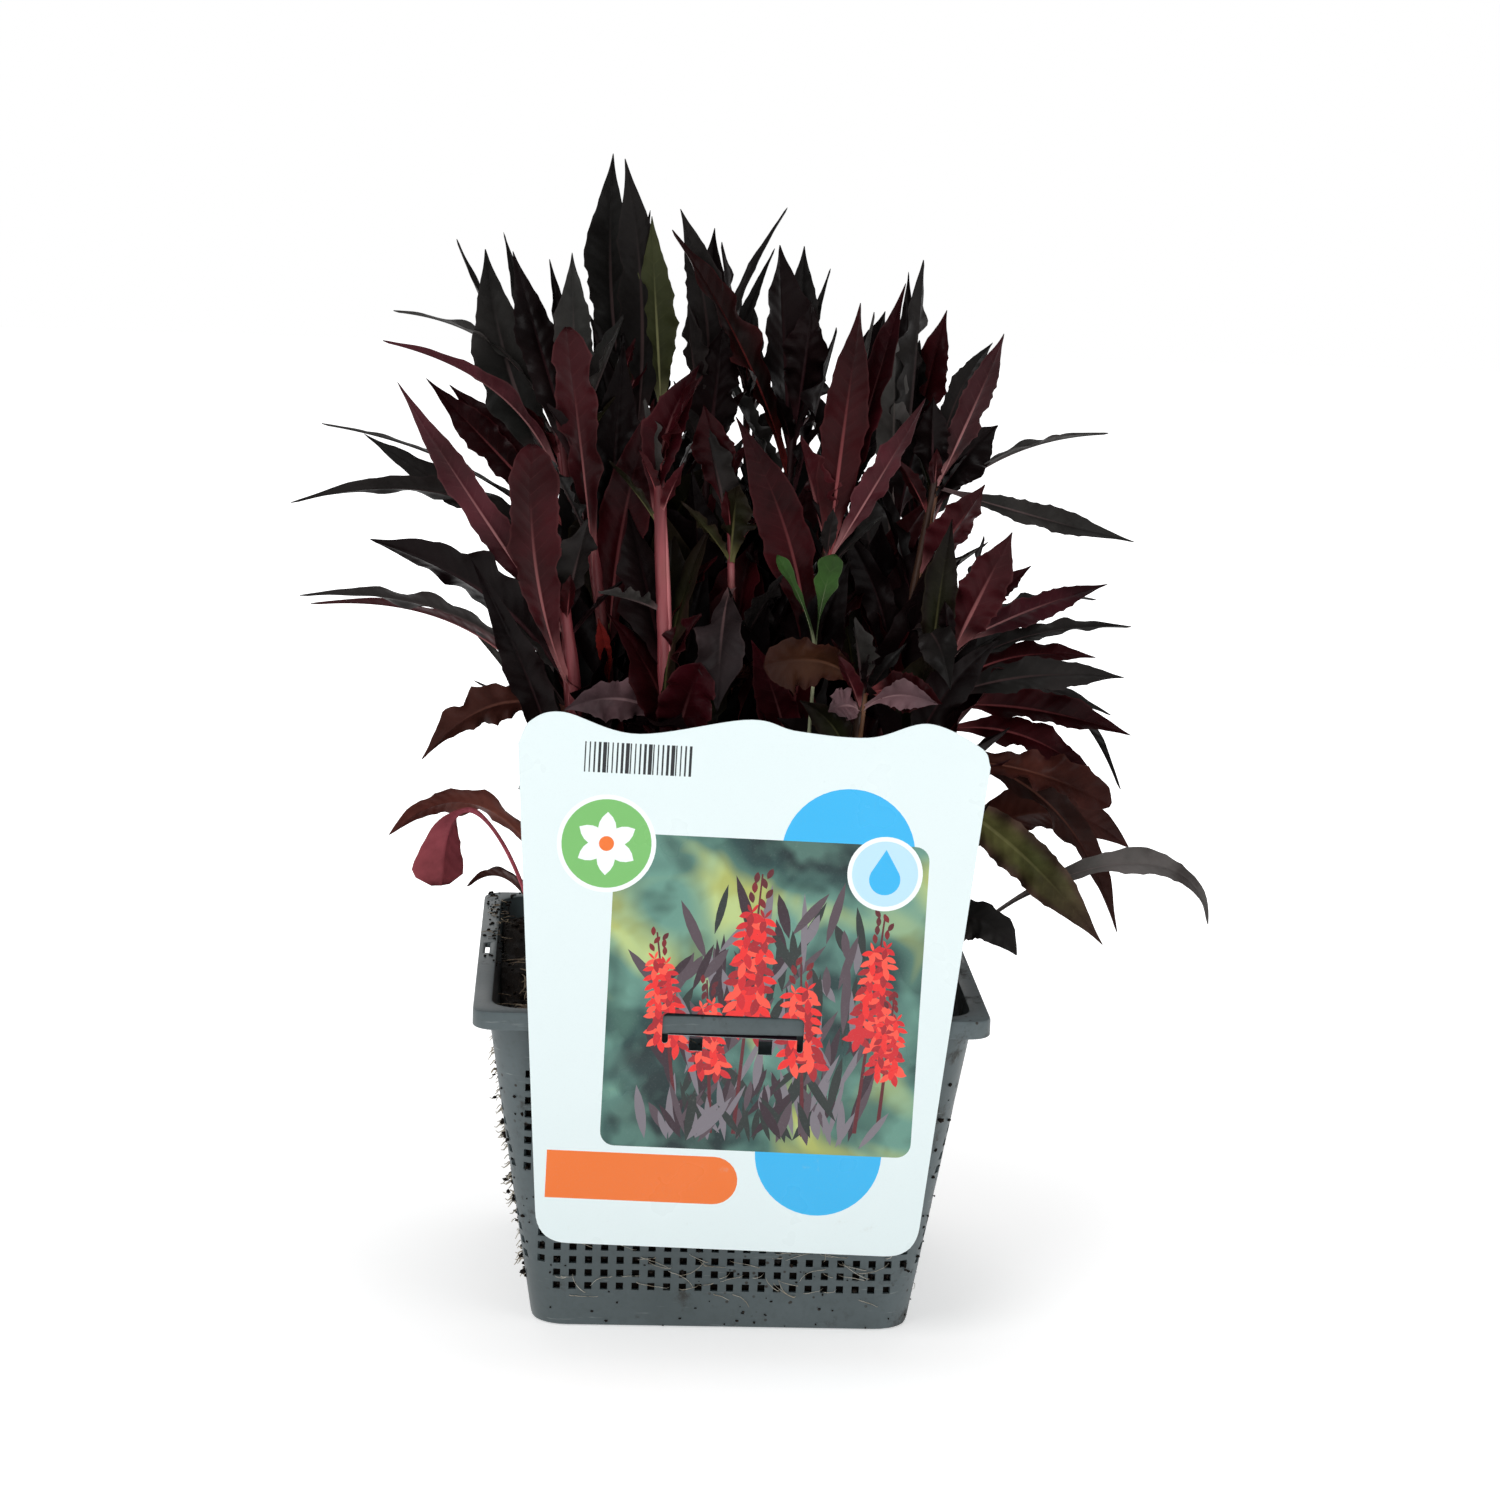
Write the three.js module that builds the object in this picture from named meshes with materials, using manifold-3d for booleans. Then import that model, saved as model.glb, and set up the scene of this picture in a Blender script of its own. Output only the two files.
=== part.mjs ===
// Cardinal flower, dark-leaved form, not in bloom, growing in a square pond basket.
// Millimetres, +Z up. The origin is the middle of the basket's base; the tag hangs on the
// -Y side. Each shoot is one solid: its stem with the leaves that grow from it.
import * as THREE from "three";
import { mergeVertices } from "three/addons/utils/BufferGeometryUtils.js";
import Module from "manifold-3d";

const wasm = await Module();
wasm.setup();

// ---------- driving dimensions ----------
const BASKET_HEIGHT = 121;
const RIM_HALF = 90; // half the outer width of the square rim
const RIM_CORNER = 8;
const LIP_DROP = 6.5; // height of the rim's turned-down edge
const LIP_THICK = 1.6;
const RIM_EDGE = 0.8; // chamfer along the rim's top edge
const FLANGE_THICK = 1.8;
const FLANGE_INNER_HALF = 83.4;
const BASE_HALF = 67.8;
const BASE_CHAMFER = 2; // at the foot of the wall outside
const WALL_THICK = 1.6;
const FLOOR_FILLET = 1.2; // where the floor meets the wall inside
const WALL_CORNER = 13;
const WALL_TOP_HALF = 85.1; // outer half width where the wall meets the flange
const INSIDE_BASE_HALF = BASE_HALF - WALL_THICK;
const INSIDE_FOOT = WALL_THICK + FLOOR_FILLET; // where the inner wall face begins
const FLANGE_SLOT = { length: 15, width: 1.7, half: 86.9 };

const SOIL_LEVEL = 109;
const SOIL_FOOT = 3.4; // height of the soil's lower edge
const SOIL_RINGS = [0.82, 0.58, 0.34, 0.12]; // rings of its surface, as shares of the brim
const SEAT_GAP = 0.35; // clearance between neighbouring pieces
const SOCKET_FLOOR = 92; // height of the bottom of each stem's socket in the soil
const SOCKET_GAP = 1.1; // room round a stem in its socket

const TAG_THICK = 0.6;
const TAG_TURN = 1.5; // degrees, in its own plane
const TAG_LEAN = -2; // degrees, top towards the plant
const TAG_ORIGIN = [2, -RIM_HALF - 0.45, BASKET_HEIGHT - LIP_DROP / 2];
const TAG_HALF_AT_LIP = 72.8;
const TAG_TAPER = 0.0845; // half width gained per millimetre of height
const TAG_BOTTOM = -79.6;
const TAG_CORNER = 11;
const TAG_SHOULDER = 95; // height where the straight sides end
const TAG_TOP_WAVE = [
  [-77, 103], [-66, 106.6], [-40.6, 100.3], [-2.9, 107.1],
  [14, 104], [38.9, 103], [58.7, 108.8], [77, 101.5],
];
const TAG_SLOT = { left: -26.5, right: 22.5, bottom: -4.9, top: 3.8 };
const TONGUE_SIDE_GAP = 1;
const TAG_TONGUE = { back: 3.1, top: 0.4 }; // how far behind the sheet it stands, its top
const TAG_HOLES = [
  { left: -17, right: -12.3, bottom: -12.2, top: -6.2 },
  { left: 7, right: 11.8, bottom: -12.2, top: -6.2 },
];

const LEAF_THICK = 1.1; // from the raised edges to the keel under the midrib
const EDGE_LIFT = 0.3; // of the edges above the leaf's own line
const LEAF_GAP = 0.6;
const LEAF_ROOT_OFFSET = 0.6; // from the stem's axis towards the leaf
const STEM_SIDES = 5;
const STEM_STATIONS = [0, 0.1, 0.35, 0.65, 1]; // closer together where the stem is in the soil
const STALK_SOCKET = 3.5; // radius of the soil's hole round a leaf stalk
const SEEDLING_STEM_RADIUS = 0.9;
const JOIN_TOLERANCE = 0.3; // smallest step kept where leaves join a stem
const GOLDEN_TURN = 137.5; // degrees from one leaf to the next up a stem

// ---------- the plant ----------
// A shoot rises from `foot` on the soil to `apex`. `own` lists the leaves that give it its
// character, and `rest` says how many more stand round it up the stem, with their length,
// width, the height where they start (0 soil, 1 apex) and the heading of the first.
// One leaf is [height on the stem, tip x, tip y, tip z, width, arch, roll in degrees].
const SHOOTS = [
  {
    foot: [-50, -38], apex: [-62, -40, 258], radius: 1.8, rest: [4, 52, 12, 0.4, 250],
    own: [
      [0.78, -74, -52, 313, 19, -0.14, 43], [0.91, -121, -44, 332, 16, -0.02, 60],
      [0.78, -130, -36, 276, 24, 0.22, 65], [0.7, -155, -26, 254, 12, 0.33, 40],
      [0.62, -152, -12, 249, 10, 0.38, 25], [0.72, -110, -50, 201, 15, 0.42, 60],
    ],
  },
  {
    foot: [-46, -8], apex: [-66, 0, 318], radius: 1.7, rest: [4, 56, 14, 0.45, 80],
    own: [
      [0.87, -93, 14, 375, 20, -0.15, -60], [0.86, -128, -8, 343, 7, 0.3, 20],
      [0.82, -105, 14, 326, 13, 0.05, -50], [0.72, -160, -4, 284, 10, 0.34, 40],
      [0.78, -135, 8, 308, 12, -0.05, -50], [0.77, -151, 20, 310, 6, 0.18, 10],
      [0.95, -126, 26, 351, 7, 0.35, 20], [0.95, -104, 34, 377, 5, -0.05, 0],
      [0.97, -87, 34, 380, 6, 0, -20], [0.8, -113, 4, 329, 12, 0.02, -50],
    ],
  },
  {
    foot: [-38, -26], apex: [-60, -22, 322], radius: 1.7, rest: [4, 56, 14, 0.4, 300],
    own: [
      [0.72, -63, -34, 352, 17, 0, 25], [0.93, -62, -8, 376, 13, 0, 0],
      [0.9, -70, 0, 373, 9, 0, 0], [0.88, -83, 6, 375, 14, 0, -40],
      [0.62, -43, -20, 346, 20, 0, 60],
    ],
  },
  {
    foot: [-20, 4], apex: [-44, 8, 338], radius: 1.8, rest: [7, 62, 15, 0.35, 200],
    own: [
      [0.93, -48, 22, 410, 16, -0.18, -30], [0.84, -44, 0, 409, 17, 0, 45],
      [0.95, -34, 26, 390, 8, 0, 0], [0.55, -54, -12, 350, 20, 0, 45],
    ],
  },
  {
    foot: [-22, -46], apex: [-30, -38, 303], radius: 1.9, rest: [3, 44, 11, 0.45, 260],
    own: [
      [0.98, -16, -50, 338, 14, 0.15, 50], [0.75, -50, -52, 262, 9, 0.1, 30],
      [0.6, -14, -56, 256, 13, 0.2, 50],
    ],
  },
  {
    foot: [-10, 18], apex: [-28, 12, 318], radius: 1.6, rest: [7, 62, 14, 0.4, 20],
    own: [[0.98, -34, 4, 389, 13, 0, 20]],
  },
  {
    foot: [-6, -6], apex: [-14, 4, 325], radius: 1.7, rest: [7, 60, 14, 0.35, 140],
    own: [
      [0.95, -24, 0, 392, 15, 0, 60], [0.93, -11, 14, 385, 14, 0, 0],
      [0.86, -8, -12, 352, 18, 0.05, -20], [0.97, 16, 34, 392, 4, 0.14, 0],
      [0.95, 12, 36, 377, 5, 0.05, 0],
    ],
  },
  {
    foot: [8, 38], apex: [4, 50, 330], radius: 1.6, rest: [10, 68, 14, 0.35, 70],
    own: [],
  },
  {
    foot: [14, 2], apex: [20, 8, 322], radius: 1.8, rest: [6, 60, 14, 0.35, 320],
    own: [
      [0.9, 12, 8, 380, 22, 0, 60], [0.92, 22, 24, 379, 15, 0, 0],
      [0.88, -27, -8, 385, 16, 0.1, -50], [0.85, 33, -2, 352, 20, 0, 30],
      [0.97, 32, 26, 371, 4, 0.1, 0],
    ],
  },
  {
    foot: [20, -40], apex: [31, -36, 285], radius: 1.7, rest: [3, 46, 13, 0.4, 260],
    own: [
      [0.9, 38, -44, 364, 17, 0, -30], [0.93, 62, -44, 332, 14, 0, -60],
      [0.95, 55, -26, 370, 13, 0, 40], [0.97, 44, -30, 360, 9, 0, 0],
    ],
  },
  {
    foot: [44, 0], apex: [62, 6, 314], radius: 1.8, rest: [6, 58, 14, 0.35, 100],
    own: [
      [0.9, 63, -4, 377, 18, 0, 20], [0.92, 74, 16, 358, 14, 0, 40],
      [0.94, 60, 22, 371, 7, 0, 0], [0.8, 53, -10, 356, 12, 0, 30],
    ],
  },
  {
    foot: [50, -22], apex: [70, -14, 303], radius: 1.7, rest: [4, 52, 13, 0.35, 200],
    own: [
      [0.97, 91, -20, 353, 15, 0, -60], [0.95, 92, 24, 346, 9, 0.3, 30],
      [0.92, 93, 4, 318, 16, 0.15, 50], [0.93, 135, 16, 315, 6, 0.2, 10],
      [0.97, 140, -26, 281, 13, -0.02, 50], [0.8, 86, -26, 300, 16, 0, -40],
    ],
  },
  {
    foot: [52, -42], apex: [78, -30, 252], radius: 1.6, rest: [2, 42, 12, 0.6, 240],
    own: [
      [0.9, 94, -46, 286, 17, 0, -50], [0.95, 105, -16, 270, 10, 0.05, 30],
      [0.93, 137, 12, 260, 10, 0.05, 40], [0.88, 135, 26, 252, 7, 0.25, 10],
      [0.86, 145, 2, 246, 9, 0.16, 20], [0.82, 131, -8, 236, 16, 0.22, 50],
      [0.8, 139, -26, 232, 18, 0.14, 55],
    ],
  },
  {
    foot: [60, -14], apex: [76, -8, 226], radius: 1.6, rest: [2, 42, 12, 0.6, 90],
    own: [
      [0.97, 140, 8, 212, 15, 0.2, 40], [0.93, 131, 24, 207, 9, 0.25, 10],
      [0.92, 145, -10, 208, 18, 0.12, 55], [0.9, 149, 34, 179, 10, 0.5, 10],
      [0.84, 134, -18, 191, 15, 0.26, 45], [0.74, 136, -30, 186, 19, 0.2, 60],
      [0.68, 133, -48, 139, 32, 0.14, 60], [0.78, 144, -8, 134, 16, 0.34, 50],
    ],
  },
  {
    foot: [2, -30], apex: [-4, -28, 288], radius: 1.6, rest: [5, 48, 13, 0.4, 30],
    own: [[0.9, -2, -44, 300, 13, 0.2, -40], [0.62, -10, -58, 232, 16, 0.5, 0]],
  },
  {
    foot: [34, -58], apex: [44, -56, 236], radius: 1.4, rest: [2, 34, 11, 0.7, 100],
    own: [[0.95, 70, -66, 228, 13, 0.2, 60], [0.9, 30, -70, 225, 11, 0.25, -50]],
  },
  {
    foot: [-44, 34], apex: [-58, 44, 300], radius: 1.6, rest: [11, 66, 14, 0.3, 150],
    own: [],
  },
  {
    foot: [-14, 54], apex: [-18, 70, 296], radius: 1.6, rest: [11, 64, 14, 0.3, 60],
    own: [],
  },
  {
    foot: [30, 26], apex: [40, 36, 312], radius: 1.6, rest: [11, 66, 14, 0.3, 10],
    own: [],
  },
  {
    foot: [54, 40], apex: [72, 52, 284], radius: 1.6, rest: [11, 62, 14, 0.3, 330],
    own: [],
  },
];

// A leaf that rises from the crown in the soil on its own stalk: its foot, tip, width and
// thickness of stalk, and how high it arches.
const CROWN_LEAVES = [
  { foot: [-52, -58], tip: [-121, -52, 174], width: 13, arch: 0.95, roll: 50 },
  { foot: [-62, -60], tip: [-105, -68, 160], width: 22, arch: 1.25, roll: 80 },
  { foot: [-60, -30], tip: [-94, -26, 150], width: 10, arch: 0.8, roll: 0 },
  { foot: [64, -50], tip: [100, -66, 139], width: 16, arch: 0.95, roll: 50 },
  { foot: [66, -30], tip: [175, -22, 141], width: 12, arch: 0.8, roll: 40 },
  { foot: [66, 4], tip: [150, 14, 161], width: 22, arch: 0.75, roll: 45 },
  { foot: [20, 66], tip: [44, 128, 150], width: 16, arch: 0.7, roll: 0 },
  { foot: [-40, 60], tip: [-78, 118, 156], width: 15, arch: 0.7, roll: 0 },
];

// A weed seedling with two seed leaves, on a thread of a stem.
const SEEDLING = {
  foot: [22, -60],
  fork: [26, -58, 245],
  leaves: [{ tip: [15, -62, 274], width: 5 }, { tip: [30, -63, 277], width: 9 }],
};

// ---------- making solids ----------
function closedGeometry(positions, triangles) {
  const geometry = new THREE.BufferGeometry();
  geometry.setAttribute("position", new THREE.Float32BufferAttribute(positions, 3));
  geometry.setIndex(triangles);
  return geometry;
}

// Rings of the same number of points, joined into one closed body with flat or fanned ends.
// A ring with a single point is a tip.
function loft(rings) {
  const positions = [];
  const starts = [];
  for (const ring of rings) {
    starts.push(positions.length / 3);
    for (const point of ring) {
      positions.push(...point);
    }
  }
  const triangles = [];
  const addFan = (ring, start, flip) => {
    for (let i = 1; i < ring.length - 1; i += 1) {
      triangles.push(start, start + (flip ? i + 1 : i), start + (flip ? i : i + 1));
    }
  };
  addFan(rings[0], 0, true);
  for (let level = 0; level < rings.length - 1; level += 1) {
    const count = rings[level].length;
    const low = starts[level];
    const high = starts[level + 1];
    const highCount = rings[level + 1].length;
    for (let i = 0; i < count; i += 1) {
      const next = (i + 1) % count;
      if (highCount === 1) {
        triangles.push(low + i, low + next, high);
      } else {
        triangles.push(low + i, low + next, high + next, low + i, high + next, high + i);
      }
    }
  }
  addFan(rings[rings.length - 1], starts[starts.length - 1], false);
  return closedGeometry(positions, triangles);
}

function toSolid(geometry) {
  const bare = geometry.clone();
  bare.deleteAttribute("normal");
  bare.deleteAttribute("uv");
  const merged = mergeVertices(bare, 1e-4);
  const vertProperties = new Float32Array(merged.attributes.position.array);
  const triVerts = new Uint32Array(merged.index.array);
  return new wasm.Manifold(new wasm.Mesh({ numProp: 3, vertProperties, triVerts }));
}

function toGeometry(solid) {
  const mesh = solid.getMesh();
  const geometry = closedGeometry(Array.from(mesh.vertProperties), Array.from(mesh.triVerts));
  geometry.computeVertexNormals();
  return geometry;
}

// Joined into one body. Where leaves cross they can close off a small pocket: its walls
// come out as shells of their own, and keeping the largest shell fills it.
function joinAll(solids) {
  const whole = solids.reduce((joined, solid) => joined.add(solid)).simplify(JOIN_TOLERANCE);
  const shells = whole.decompose();
  return shells.reduce((best, shell) => (shell.volume() > best.volume() ? shell : best));
}

function boxSolid(size, centre) {
  const box = new THREE.BoxGeometry(...size);
  box.translate(...centre);
  return toSolid(box);
}

// A square with round corners, counter-clockwise from above.
function squareRing(half, corner, height, steps = 4) {
  const ring = [];
  const corners = [[1, 1], [-1, 1], [-1, -1], [1, -1]];
  corners.forEach(([signX, signY], quarter) => {
    for (let i = 0; i <= steps; i += 1) {
      const angle = (quarter + i / steps) * (Math.PI / 2);
      const x = signX * (half - corner) + corner * Math.cos(angle);
      const y = signY * (half - corner) + corner * Math.sin(angle);
      ring.push([x, y, height]);
    }
  });
  return ring;
}

// ---------- pond basket ----------
function makeBasket() {
  const underFlange = BASKET_HEIGHT - FLANGE_THICK;
  const lipBottom = BASKET_HEIGHT - LIP_DROP;
  const lipInner = RIM_HALF - LIP_THICK;
  const shell = loft([
    squareRing(BASE_HALF - BASE_CHAMFER, WALL_CORNER - BASE_CHAMFER, 0),
    squareRing(BASE_HALF, WALL_CORNER, BASE_CHAMFER),
    squareRing(WALL_TOP_HALF, WALL_CORNER - 1, underFlange),
    squareRing(lipInner, RIM_CORNER - LIP_THICK, underFlange),
    squareRing(lipInner, RIM_CORNER - LIP_THICK, lipBottom),
    squareRing(RIM_HALF, RIM_CORNER, lipBottom),
    squareRing(RIM_HALF, RIM_CORNER, BASKET_HEIGHT - RIM_EDGE),
    squareRing(RIM_HALF - RIM_EDGE, RIM_CORNER - RIM_EDGE, BASKET_HEIGHT),
    squareRing(FLANGE_INNER_HALF + 1, WALL_CORNER - 1, BASKET_HEIGHT),
    squareRing(FLANGE_INNER_HALF, WALL_CORNER - 2, BASKET_HEIGHT - 1),
    squareRing(INSIDE_BASE_HALF, WALL_CORNER - WALL_THICK, INSIDE_FOOT),
    squareRing(INSIDE_BASE_HALF - FLOOR_FILLET, WALL_CORNER - 3, WALL_THICK),
  ]);
  let basket = toSolid(shell);
  for (const side of [-1, 1]) {
    const across = side * FLANGE_SLOT.half;
    const alongX = [FLANGE_SLOT.length, FLANGE_SLOT.width, 6];
    const alongY = [FLANGE_SLOT.width, FLANGE_SLOT.length, 6];
    basket = basket.subtract(boxSolid(alongX, [0, across, BASKET_HEIGHT]));
    basket = basket.subtract(boxSolid(alongY, [across, 0, BASKET_HEIGHT]));
  }
  return basket;
}

// ---------- soil ----------
// Lumpy, banked up against the rim in the left back corner.
function soilHeight(x, y) {
  const lumps = 1.6 * Math.sin(x / 11 + 1.3) * Math.cos(y / 9) + 1.1 * Math.sin((x + 2 * y) / 17);
  const bank = 8 * Math.max(0, (y - x) / 160 - 0.15);
  return SOIL_LEVEL + lumps + bank;
}

// Half the soil's width at a height: the basket's inner wall less the clearance.
function insideHalf(height) {
  const rise = (height - INSIDE_FOOT) / (BASKET_HEIGHT - 1 - INSIDE_FOOT);
  return INSIDE_BASE_HALF + (FLANGE_INNER_HALF - INSIDE_BASE_HALF) * rise - SEAT_GAP;
}

function makeSoil(stemFeet) {
  const corner = WALL_CORNER - 2.5;
  const brim = squareRing(insideHalf(SOIL_LEVEL), corner, 0).map(([x, y], i) => {
    const height = soilHeight(x, y);
    const [edgeX, edgeY] = squareRing(insideHalf(height), corner, 0)[i];
    return [edgeX, edgeY, height];
  });
  const rings = [
    squareRing(INSIDE_BASE_HALF - 1.5 * FLOOR_FILLET, corner - 1, WALL_THICK + SEAT_GAP),
    squareRing(insideHalf(SOIL_FOOT), corner, SOIL_FOOT),
    brim,
  ];
  for (const scale of SOIL_RINGS) {
    rings.push(brim.map(([x, y]) => [x * scale, y * scale, soilHeight(x * scale, y * scale)]));
  }
  let soil = toSolid(loft(rings));
  for (const { x, y, radius } of stemFeet) {
    const top = SOIL_LEVEL + 12;
    const hole = [SOCKET_FLOOR, top].map((height) => polygonRing([x, y, height], radius, 6));
    soil = soil.subtract(toSolid(loft(hole)));
  }
  return soil;
}

function polygonRing([x, y, z], radius, sides) {
  const ring = [];
  for (let i = 0; i < sides; i += 1) {
    const angle = (i / sides) * 2 * Math.PI;
    ring.push([x + radius * Math.cos(angle), y + radius * Math.sin(angle), z]);
  }
  return ring;
}

// ---------- plant tag ----------
function tagHalf(height) {
  return TAG_HALF_AT_LIP + TAG_TAPER * height;
}

function makeTag() {
  const low = tagHalf(TAG_BOTTOM);
  const cornerTop = TAG_BOTTOM + TAG_CORNER;
  const wave = TAG_TOP_WAVE.map(([x, z]) => new THREE.Vector2(x, z)).reverse();
  const edge = new THREE.Path();
  edge.moveTo(-tagHalf(TAG_SHOULDER), TAG_SHOULDER);
  edge.lineTo(-tagHalf(cornerTop), cornerTop);
  edge.quadraticCurveTo(-low, TAG_BOTTOM, -low + TAG_CORNER, TAG_BOTTOM);
  edge.lineTo(low - TAG_CORNER, TAG_BOTTOM);
  edge.quadraticCurveTo(low, TAG_BOTTOM, tagHalf(cornerTop), cornerTop);
  edge.lineTo(tagHalf(TAG_SHOULDER), TAG_SHOULDER);
  edge.splineThru(wave);
  const outline = new THREE.Shape(edge.getPoints(2));
  const sheet = new THREE.ExtrudeGeometry(outline, {
    depth: TAG_THICK, bevelEnabled: false, curveSegments: 3,
  });
  sheet.rotateX(Math.PI / 2); // drawn in x and z; the sheet's back is at y = 0

  // The tongue is hinged at the slot's lower edge, passes under the lip and stands behind it.
  const slot = TAG_SLOT;
  const back = TAG_TONGUE.back;
  const hingeTop = slot.bottom + TAG_THICK;
  const profile = new THREE.Shape();
  profile.moveTo(-TAG_THICK, slot.bottom - 1.2);
  profile.lineTo(0, slot.bottom - 1.2);
  profile.lineTo(back + TAG_THICK, slot.bottom);
  profile.lineTo(back + TAG_THICK, TAG_TONGUE.top);
  profile.lineTo(back, TAG_TONGUE.top);
  profile.lineTo(back, hingeTop);
  profile.lineTo(-TAG_THICK, hingeTop - 0.3);
  const width = slot.right - slot.left - 2 * TONGUE_SIDE_GAP;
  const tongue = new THREE.ExtrudeGeometry(profile, { depth: width, bevelEnabled: false });
  // The profile's first axis becomes y and its second z; the width runs along x.
  const axes = new THREE.Matrix4().makeBasis(
    new THREE.Vector3(0, 1, 0), new THREE.Vector3(0, 0, 1), new THREE.Vector3(1, 0, 0),
  );
  tongue.applyMatrix4(axes);
  tongue.translate(slot.left + TONGUE_SIDE_GAP, 0, 0);
  const place = new THREE.Matrix4().makeRotationFromEuler(
    new THREE.Euler(THREE.MathUtils.degToRad(TAG_LEAN), THREE.MathUtils.degToRad(TAG_TURN), 0),
  );
  place.setPosition(...TAG_ORIGIN);
  const cutters = [slot, ...TAG_HOLES].map(({ left, right, bottom, top }) => {
    const cutter = new THREE.BoxGeometry(right - left, 4 * TAG_THICK, top - bottom);
    cutter.translate((left + right) / 2, 0, (bottom + top) / 2);
    return cutter;
  });
  for (const geometry of [sheet, tongue, ...cutters]) {
    geometry.applyMatrix4(place);
  }
  const openSheet = cutters.reduce((left, cutter) => left.subtract(toSolid(cutter)), toSolid(sheet));
  return openSheet.add(toSolid(tongue));
}

// ---------- stems and leaves ----------
const UP = new THREE.Vector3(0, 0, 1);

function stemCurve(foot, apex) {
  const base = new THREE.Vector3(foot[0], foot[1], SOCKET_FLOOR + SEAT_GAP);
  const end = new THREE.Vector3(...apex);
  const middle = new THREE.Vector3(foot[0], foot[1], (base.z + end.z) / 2);
  return new THREE.QuadraticBezierCurve3(base, middle, end);
}

// The stem stands upright in its socket, so its rings below the soil are level.
function makeStem(curve, radius) {
  const rings = [];
  for (const t of STEM_STATIONS) {
    const centre = curve.getPoint(t);
    const tangent = curve.getTangent(t);
    const side = new THREE.Vector3(1, 0, 0).cross(tangent).normalize();
    const other = tangent.clone().cross(side);
    const size = radius * (1 - 0.45 * t);
    const ring = [];
    for (let k = 0; k < STEM_SIDES; k += 1) {
      const angle = (k / STEM_SIDES) * 2 * Math.PI;
      const point = centre.clone();
      point.addScaledVector(side, size * Math.cos(angle));
      point.addScaledVector(other, size * Math.sin(angle));
      ring.push(point.toArray());
    }
    rings.push(ring);
  }
  return toSolid(loft(rings));
}

// The line a leaf follows from its root to its tip. It bows to its upper side, so that it
// rises first and then droops, when arch is positive.
function leafCurve(root, tip, arch) {
  const chord = tip.clone().sub(root);
  const level = UP.clone().cross(chord).normalize();
  const bow = chord.clone().cross(level).multiplyScalar(arch);
  const control = root.clone().addScaledVector(chord, 0.45).add(bow);
  return new THREE.QuadraticBezierCurve3(root, control, tip);
}

function stalkCurve(root, tip, arch) {
  const chord = tip.clone().sub(root);
  const lift = arch * chord.length();
  const first = root.clone();
  first.z += 0.9 * lift;
  const second = root.clone().addScaledVector(chord, 0.55);
  second.z += 0.8 * lift;
  return new THREE.CubicBezierCurve3(root, first, second, tip);
}

// Stations along a leaf, each with its share of the full width: a lance-shaped blade, a
// blade on a long stalk and the spoon of a seed leaf.
const BLADE_STATIONS = [[0, 0.16], [0.34, 0.95], [0.68, 0.72]];
const SHORT_STATIONS = [[0, 0.16], [0.45, 0.95]];
const STALKED_STATIONS = [[0, 0.1], [0.1, 0.1], [0.25, 0.1], [0.42, 0.2], [0.62, 0.8], [0.82, 0.85]];
const SPOON_STATIONS = [[0, 0.2], [0.5, 0.35], [0.75, 1], [0.92, 0.8]];

function makeLeaf(root, tip, width, arch, roll, stations = BLADE_STATIONS, route = leafCurve) {
  const curve = route(root, tip, arch);
  const heading = tip.clone().sub(root).setZ(0).normalize();
  const level = UP.clone().cross(heading);
  const rollAngle = THREE.MathUtils.degToRad(roll);
  const rings = stations.map(([t, share]) => {
    const centre = curve.getPoint(t);
    const tangent = curve.getTangent(t);
    const upper = tangent.clone().cross(level).normalize();
    const across = level.clone().multiplyScalar(Math.cos(rollAngle));
    across.addScaledVector(upper, Math.sin(rollAngle));
    const face = tangent.clone().cross(across);
    const half = Math.max(0.5, (share * width) / 2);
    const left = centre.clone().addScaledVector(across, -half).addScaledVector(face, EDGE_LIFT);
    const right = centre.clone().addScaledVector(across, half).addScaledVector(face, EDGE_LIFT);
    const keel = centre.clone().addScaledVector(face, EDGE_LIFT - LEAF_THICK);
    return [left, keel, right].map((point) => point.toArray());
  });
  rings.push([tip.toArray()]);
  return toSolid(loft(rings));
}

// A repeatable stand-in for chance, from 0 to 1.
function chance(a, b) {
  const value = Math.sin(a * 12.9898 + b * 78.233) * 43758.5453;
  return value - Math.floor(value);
}

// The leaves that stand round a shoot by rule, lowest first: long and spreading near the
// soil, short and steep near the apex.
function restLeaves(shoot, index, curve) {
  const [count, length, width, start, firstHeading] = shoot.rest;
  const leaves = [];
  for (let k = 0; k < count; k += 1) {
    const rise = count > 1 ? k / (count - 1) : 1;
    const at = start + (0.97 - start) * rise;
    const heading = THREE.MathUtils.degToRad(firstHeading + GOLDEN_TURN * k);
    const steep = THREE.MathUtils.degToRad(22 + 42 * rise + 16 * chance(index, k));
    const reach = length * (1.05 - 0.3 * rise) * (0.85 + 0.3 * chance(index + 50, k));
    const axis = stemPoint(curve, at);
    leaves.push({
      axis,
      tip: [
        axis.x + reach * Math.cos(steep) * Math.cos(heading),
        axis.y + reach * Math.cos(steep) * Math.sin(heading),
        axis.z + reach * Math.sin(steep),
      ],
      width: width * (0.8 + 0.4 * chance(index + 90, k)),
      arch: 0.25 - 0.25 * rise,
      roll: 70 * (chance(index + 130, k) - 0.5),
    });
  }
  return leaves;
}

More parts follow.
